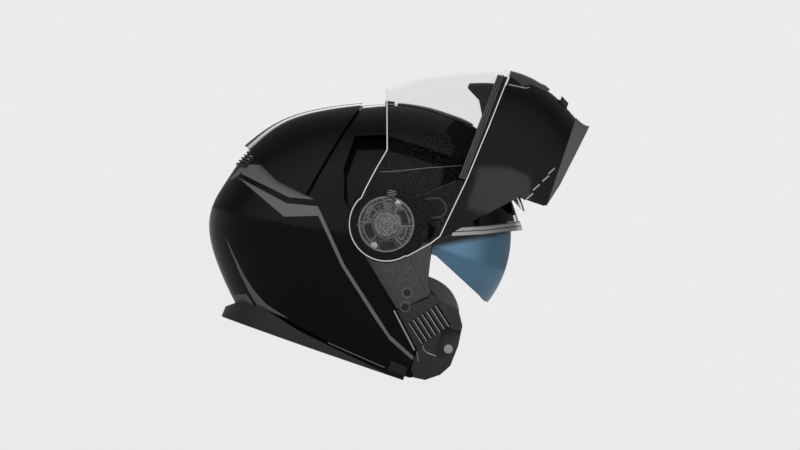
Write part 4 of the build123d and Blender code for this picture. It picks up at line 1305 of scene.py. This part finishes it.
@dataclass
class ArmDetails(Sided):
    """Ring clip and fine lines of one arm, and the light bars on the rubber skirt."""

    inset: float = 3.2
    clip: tuple = ((22.8, 167.6), (29.8, 171.6), (36.0, 172.4), (41.4, 170.2), (44.6, 165.0),
                   (44.4, 160.2), (41.7, 156.5), (34.5, 153.2))
    clip_radius: float = 1.3
    lines: tuple = (((13.1, 166.7), (28.0, 179.0), (44.1, 193.3)), ((41.5, 157.2), (46.8, 151.5)))
    line_radius: float = 0.4
    dashes: tuple = ((126.4, 231.6), (123.5, 223.2), (117.9, 212.6), (114.7, 202.5))
    dash_half: tuple[float, float] = (2.1, 3.6)
    dash_radius: float = 0.8

    def build(self) -> None:
        """Lays bars on the chin bar's form."""
        arm = Piece(self.named("arm_clip"), JAW_SMOOTH, "chin", "dark_grey")
        arm.tube(on_bar(self.clip, self.inset, self.edge, 40), self.clip_radius)
        for line in self.lines:
            arm.tube(on_bar(line, self.inset, self.edge), self.line_radius)
        arm.put()
        skirt = Piece(self.named("skirt_dashes"), SILVER_PAINT_AND_HIGHLIGHT, "chin", "chrome")
        across, up = self.dash_half
        for x, z in self.dashes:
            line = ((x - across, z - up), (x + across, z + up))
            skirt.tube(on_bar(line, 0.0, self.edge, 8), self.dash_radius)
        skirt.put()


@dataclass
class JawDetails(Sided):
    """Lines, louvre highlights and snap rings of one jaw cover."""

    inset: float = 8.0
    seams: tuple = (((25.9, 112.5), (53.5, 83.5)), ((31.9, 61.0), (59.7, 87.3)),
                    ((59.7, 87.3), (74.4, 71.4), (78.3, 47.7), (75.7, 38.4)),
                    ((87.8, 56.8), (92.5, 62.6)))
    seam_radius: float = 0.4
    notch: tuple = ((59.0, 33.5), (63.9, 38.5))
    notch_inset: float = 9.1
    notch_radius: float = 1.5
    # The shell edge and the first edge line are light bars painted as the highlight along the
    # shell's step
    shell_edge: tuple = ((28.8, 59.4), (44.2, 44.7), (59.2, 30.4))
    shell_inset: float = 0.3
    shell_radius: float = 0.9
    edges: tuple = (((61.6, 29.6), (63.4, 27.0), (66.0, 21.5)),
                    ((65.2, 37.3), (67.6, 33.6), (71.2, 31.8), (80.5, 31.7)))
    thin_radius: float = 0.5
    louvre_middle: tuple[float, float] = (65.0, 58.5)
    louvre_across: tuple[float, float] = (0.616, 0.788)
    louvre_half: float = 11.5
    louvre_pitch: float = 5.0
    louvre_shift: float = 1.3
    louvre_count: int = 7
    snaps: tuple = ((35.1, 79.3), (37.7, 66.1))
    snap_radius: float = 4.5

    def lines(self) -> None:
        """Adds seams as fine dark cords set in the surface, and light lines along edges, the
        shell's step painted as a highlight.
        """
        dark = Piece(self.named("jaw_seams"), SATIN_BLACK, "helmet", "matte_black")
        for line in self.seams:
            dark.tube(on_shell(line, self.inset, self.edge), self.seam_radius)
        dark.tube(on_shell(self.notch, self.notch_inset, self.edge), self.notch_radius)
        dark.put()
        light = Piece(self.named("jaw_edges"), SILVER_PAINT_AND_HIGHLIGHT, "helmet", "chrome")
        light.tube(on_shell(self.shell_edge, self.shell_inset, self.edge), self.shell_radius)
        for line in self.edges:
            light.tube(on_shell(line, self.inset, self.edge), self.thin_radius)
        light.put()

    def louvres(self) -> None:
        """Adds the louvres' painted ridge highlights as light bars, each half a length to both
        sides of its middle.
        """
        bars = Piece(self.named("louvre_edges"), SILVER_PAINT_AND_HIGHLIGHT, "helmet", "chrome")
        across = np.array(self.louvre_across)
        half = self.louvre_half * np.array((-across[1], across[0]))
        for number in range(self.louvre_count):
            shift = self.louvre_pitch * (number - self.louvre_count // 2) - self.louvre_shift
            middle = self.louvre_middle + shift * across
            bars.tube(on_shell((middle + half, middle - half), self.inset, self.edge, 12),
                      self.thin_radius, 6)
        bars.put()

    def rings(self) -> None:
        """Adds a raised ring round each snap."""
        piece = Piece(self.named("snap_rings"), SNAP_GREY_AND_HIGHLIGHT, "helmet", "dark_grey")
        for middle in self.snaps:
            ring = arc(middle, self.snap_radius, 0, 352, 32)
            away = FORM.beside(ring[:, 0], ring[:, 1], np.full(32, self.inset))
            piece.tube(self.beside(ring, away), self.thin_radius, closed=True)
        piece.put()

    def build(self) -> None:
        """Makes the details of this jaw."""
        self.lines()
        self.louvres()
        self.rings()


@dataclass
class ShellDetails:
    """Painted highlights on the head shell: pale lines along the creases under the raised shield,
    and along the base.
    """

    crease: tuple = ((-26.1, 178.4), (-11.4, 184.3), (14.5, 196.5), (45.2, 209.6))
    crease_inset: float = 9.9
    crease_radius: float = 0.35
    # The bead is a pale line, painted as the soft highlight along the base trim
    bead: tuple = ((-20.0, 10.4), (-8.2, 9.5), (38.2, 5.5))
    bead_inset: float = 0.1
    bead_radius: float = 0.6

    def build(self) -> None:
        """Runs a thin pale bar, a painted highlight, along the crease and along the base, on both
        sides.
        """
        for name, finish, slot, line, inset, radius in (
                # The crease bar is a painted highlight along the recess step
                ("shell_creases", PALE_RIB_AND_HIGHLIGHT, "chrome", self.crease, self.crease_inset,
                 self.crease_radius),
                # The base bar is a painted highlight line
                ("base_bead", SNAP_GREY_AND_HIGHLIGHT, "dark_grey", self.bead, self.bead_inset,
                 self.bead_radius)):
            piece = Piece(name, finish, "helmet", slot)
            for edge in Side:
                piece.tube(on_shell(line, inset, edge, 40), radius, 6)
            piece.put()


@dataclass
class Studio:
    """Pale floor, soft lights and the long camera at the photograph's side view."""

    roll: float = 19.0
    lens: float = 560.0
    sensor: float = 36.0
    frame_width: float = 760.0
    centre: tuple[float, float] = (8.1, 137.4)
    floor_size: float = 40.0
    far_limit: float = 100.0
    backdrop: str = "#ebebeb"
    paper_colour: str = "#c4c4c4"
    shadow_share: float = 0.02
    dome_colour: str = "#f0f0f0"
    dome_bounds: tuple[float, float] = (-0.4, 0.3)
    dome_strengths: tuple[float, float] = (1.0, 0.15)
    softboxes: tuple = (("rim_strip", (-0.1, 1.6, 0.62), (0, 0, 0.24), (2.0, 0.2), 2.6),
                        ("front_fill", (0.9, -1.6, 1.2), (0, 0, 0.15), (0.8, 0.8), 4.0))

    def camera(self) -> None:
        """Sets the camera looking along +Y, rolled so that the helmet leans forward."""
        data = bpy.data.cameras.new("photo_camera")
        data.lens = self.lens
        data.sensor_width = self.sensor
        distance = self.frame_width * self.lens / self.sensor
        data.clip_end = self.far_limit
        camera = bpy.data.objects.new("photo_camera", data)
        camera.location = (self.centre[0] * MM, -distance * MM, self.centre[1] * MM)
        camera.rotation_mode = "XYZ"
        camera.rotation_euler = (math.radians(90), math.radians(-self.roll), 0)
        bpy.context.scene.collection.objects.link(camera)
        bpy.context.scene.camera = camera

    def floor(self) -> None:
        """Lays a wide pale floor under the base rim."""
        half = self.floor_size / 2
        mesh = bpy.data.meshes.new("floor")
        corners = [(-half, -half, 0), (half, -half, 0), (half, half, 0), (-half, half, 0)]
        mesh.from_pydata(corners, [], [(0, 1, 2, 3)])
        floor = bpy.data.objects.new("floor", mesh)
        mesh.materials.append(self.paper())
        bpy.context.scene.collection.objects.link(floor)

    def paper(self) -> bpy.types.Material:
        """Pale paper: in the picture as even as the background, with a trace of shadow.

        Returns:
            The floor's material.
        """
        material = bpy.data.materials.new("seamless_paper")
        material.use_nodes = True
        tree = material.node_tree
        tree.nodes.clear()
        rays = add_node(tree, "ShaderNodeLightPath")
        even = add_node(tree, "ShaderNodeEmission", {"Color": linear(self.backdrop)})
        matt = add_node(tree, "ShaderNodeBsdfDiffuse", {"Color": linear(self.paper_colour)})
        trace = add_node(tree, "ShaderNodeMixShader", {
            0: self.shadow_share, 1: even.outputs[0], 2: matt.outputs[0]})
        mix = add_node(tree, "ShaderNodeMixShader", {
            0: rays.outputs["Is Camera Ray"], 1: matt.outputs[0], 2: trace.outputs[0]})
        add_node(tree, "ShaderNodeOutputMaterial", {"Surface": mix.outputs[0]})
        return material

    def light(self, name: str, place: tuple, aim: tuple, size: tuple, power: float) -> None:
        """Adds one softbox.

        Args:
            name: the light's name.
            place: its middle, in metres.
            aim: the point that it faces, in metres.
            size: width and height, in metres.
            power: in watts.
        """
        data = bpy.data.lights.new(name, "AREA")
        data.shape = "RECTANGLE"
        data.size, data.size_y = size
        data.energy = power
        light = bpy.data.objects.new(name, data)
        light.visible_camera = False
        light.location = place
        light.rotation_euler = (Vector(aim) - Vector(place)).to_track_quat("-Z", "Y").to_euler()
        bpy.context.scene.collection.objects.link(light)

    def world(self) -> None:
        """Pale surroundings in the picture, and a dome that lights the helmet from in front.

        The dome's strength falls from the camera's side to the far side, so that only the
        strip light draws the upper rim.
        """
        world = bpy.data.worlds.new("studio_dome")
        bpy.context.scene.world = world
        world.use_nodes = True
        tree = world.node_tree
        tree.nodes.clear()
        rays = add_node(tree, "ShaderNodeLightPath")
        pale = add_node(tree, "ShaderNodeBackground", {"Color": linear(self.backdrop)})
        way = add_node(tree, "ShaderNodeTexCoord")
        parts = add_node(tree, "ShaderNodeSeparateXYZ", {0: way.outputs["Generated"]})
        near, far = self.dome_bounds
        strong, weak = self.dome_strengths
        power = add_node(tree, "ShaderNodeMapRange", {
            "Value": parts.outputs["Y"], "From Min": near, "From Max": far, "To Min": strong,
            "To Max": weak})
        dome = add_node(tree, "ShaderNodeBackground", {
            "Color": linear(self.dome_colour), "Strength": power.outputs["Result"]})
        mix = add_node(tree, "ShaderNodeMixShader", {
            0: rays.outputs["Is Camera Ray"], 1: dome.outputs[0], 2: pale.outputs[0]})
        add_node(tree, "ShaderNodeOutputWorld", {"Surface": mix.outputs[0]})

    def build(self) -> None:
        """Makes camera, floor, world and lights."""
        self.camera()
        self.floor()
        self.world()
        for softbox in self.softboxes:
            self.light(*softbox)
        bpy.context.scene.view_settings.view_transform = "Standard"


def dress_nodes() -> None:
    """Gives every carried-over node its own finish."""
    table = {name.replace("*", edge.name.lower()): finish for finish, names in FINISH_ROWS
             for name in names.split() for edge in Side}
    for name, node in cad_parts.items():
        finish = table.get(name, SATIN_BLACK)
        node.data.materials.clear()
        node.data.materials.append(finish.build())
        log.info("%s gets %s", name, finish.name)


def main() -> None:
    """Builds everything in order."""
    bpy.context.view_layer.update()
    Studio().build()
    dress_nodes()
    right, left = Side
    for part in (CrownLining(), CheekPad(right), CheekPad(left), NeckRoll(), ChinStrap(right),
                 ChinStrap(left), VisorEdges(), BrowStripes(), PivotMechanism(right),
                 PivotMechanism(left), BarFront(), ArmDetails(right), ArmDetails(left),
                 JawDetails(right), JawDetails(left), ShellDetails()):
        part.build()


if __name__ == "__main__":
    main()
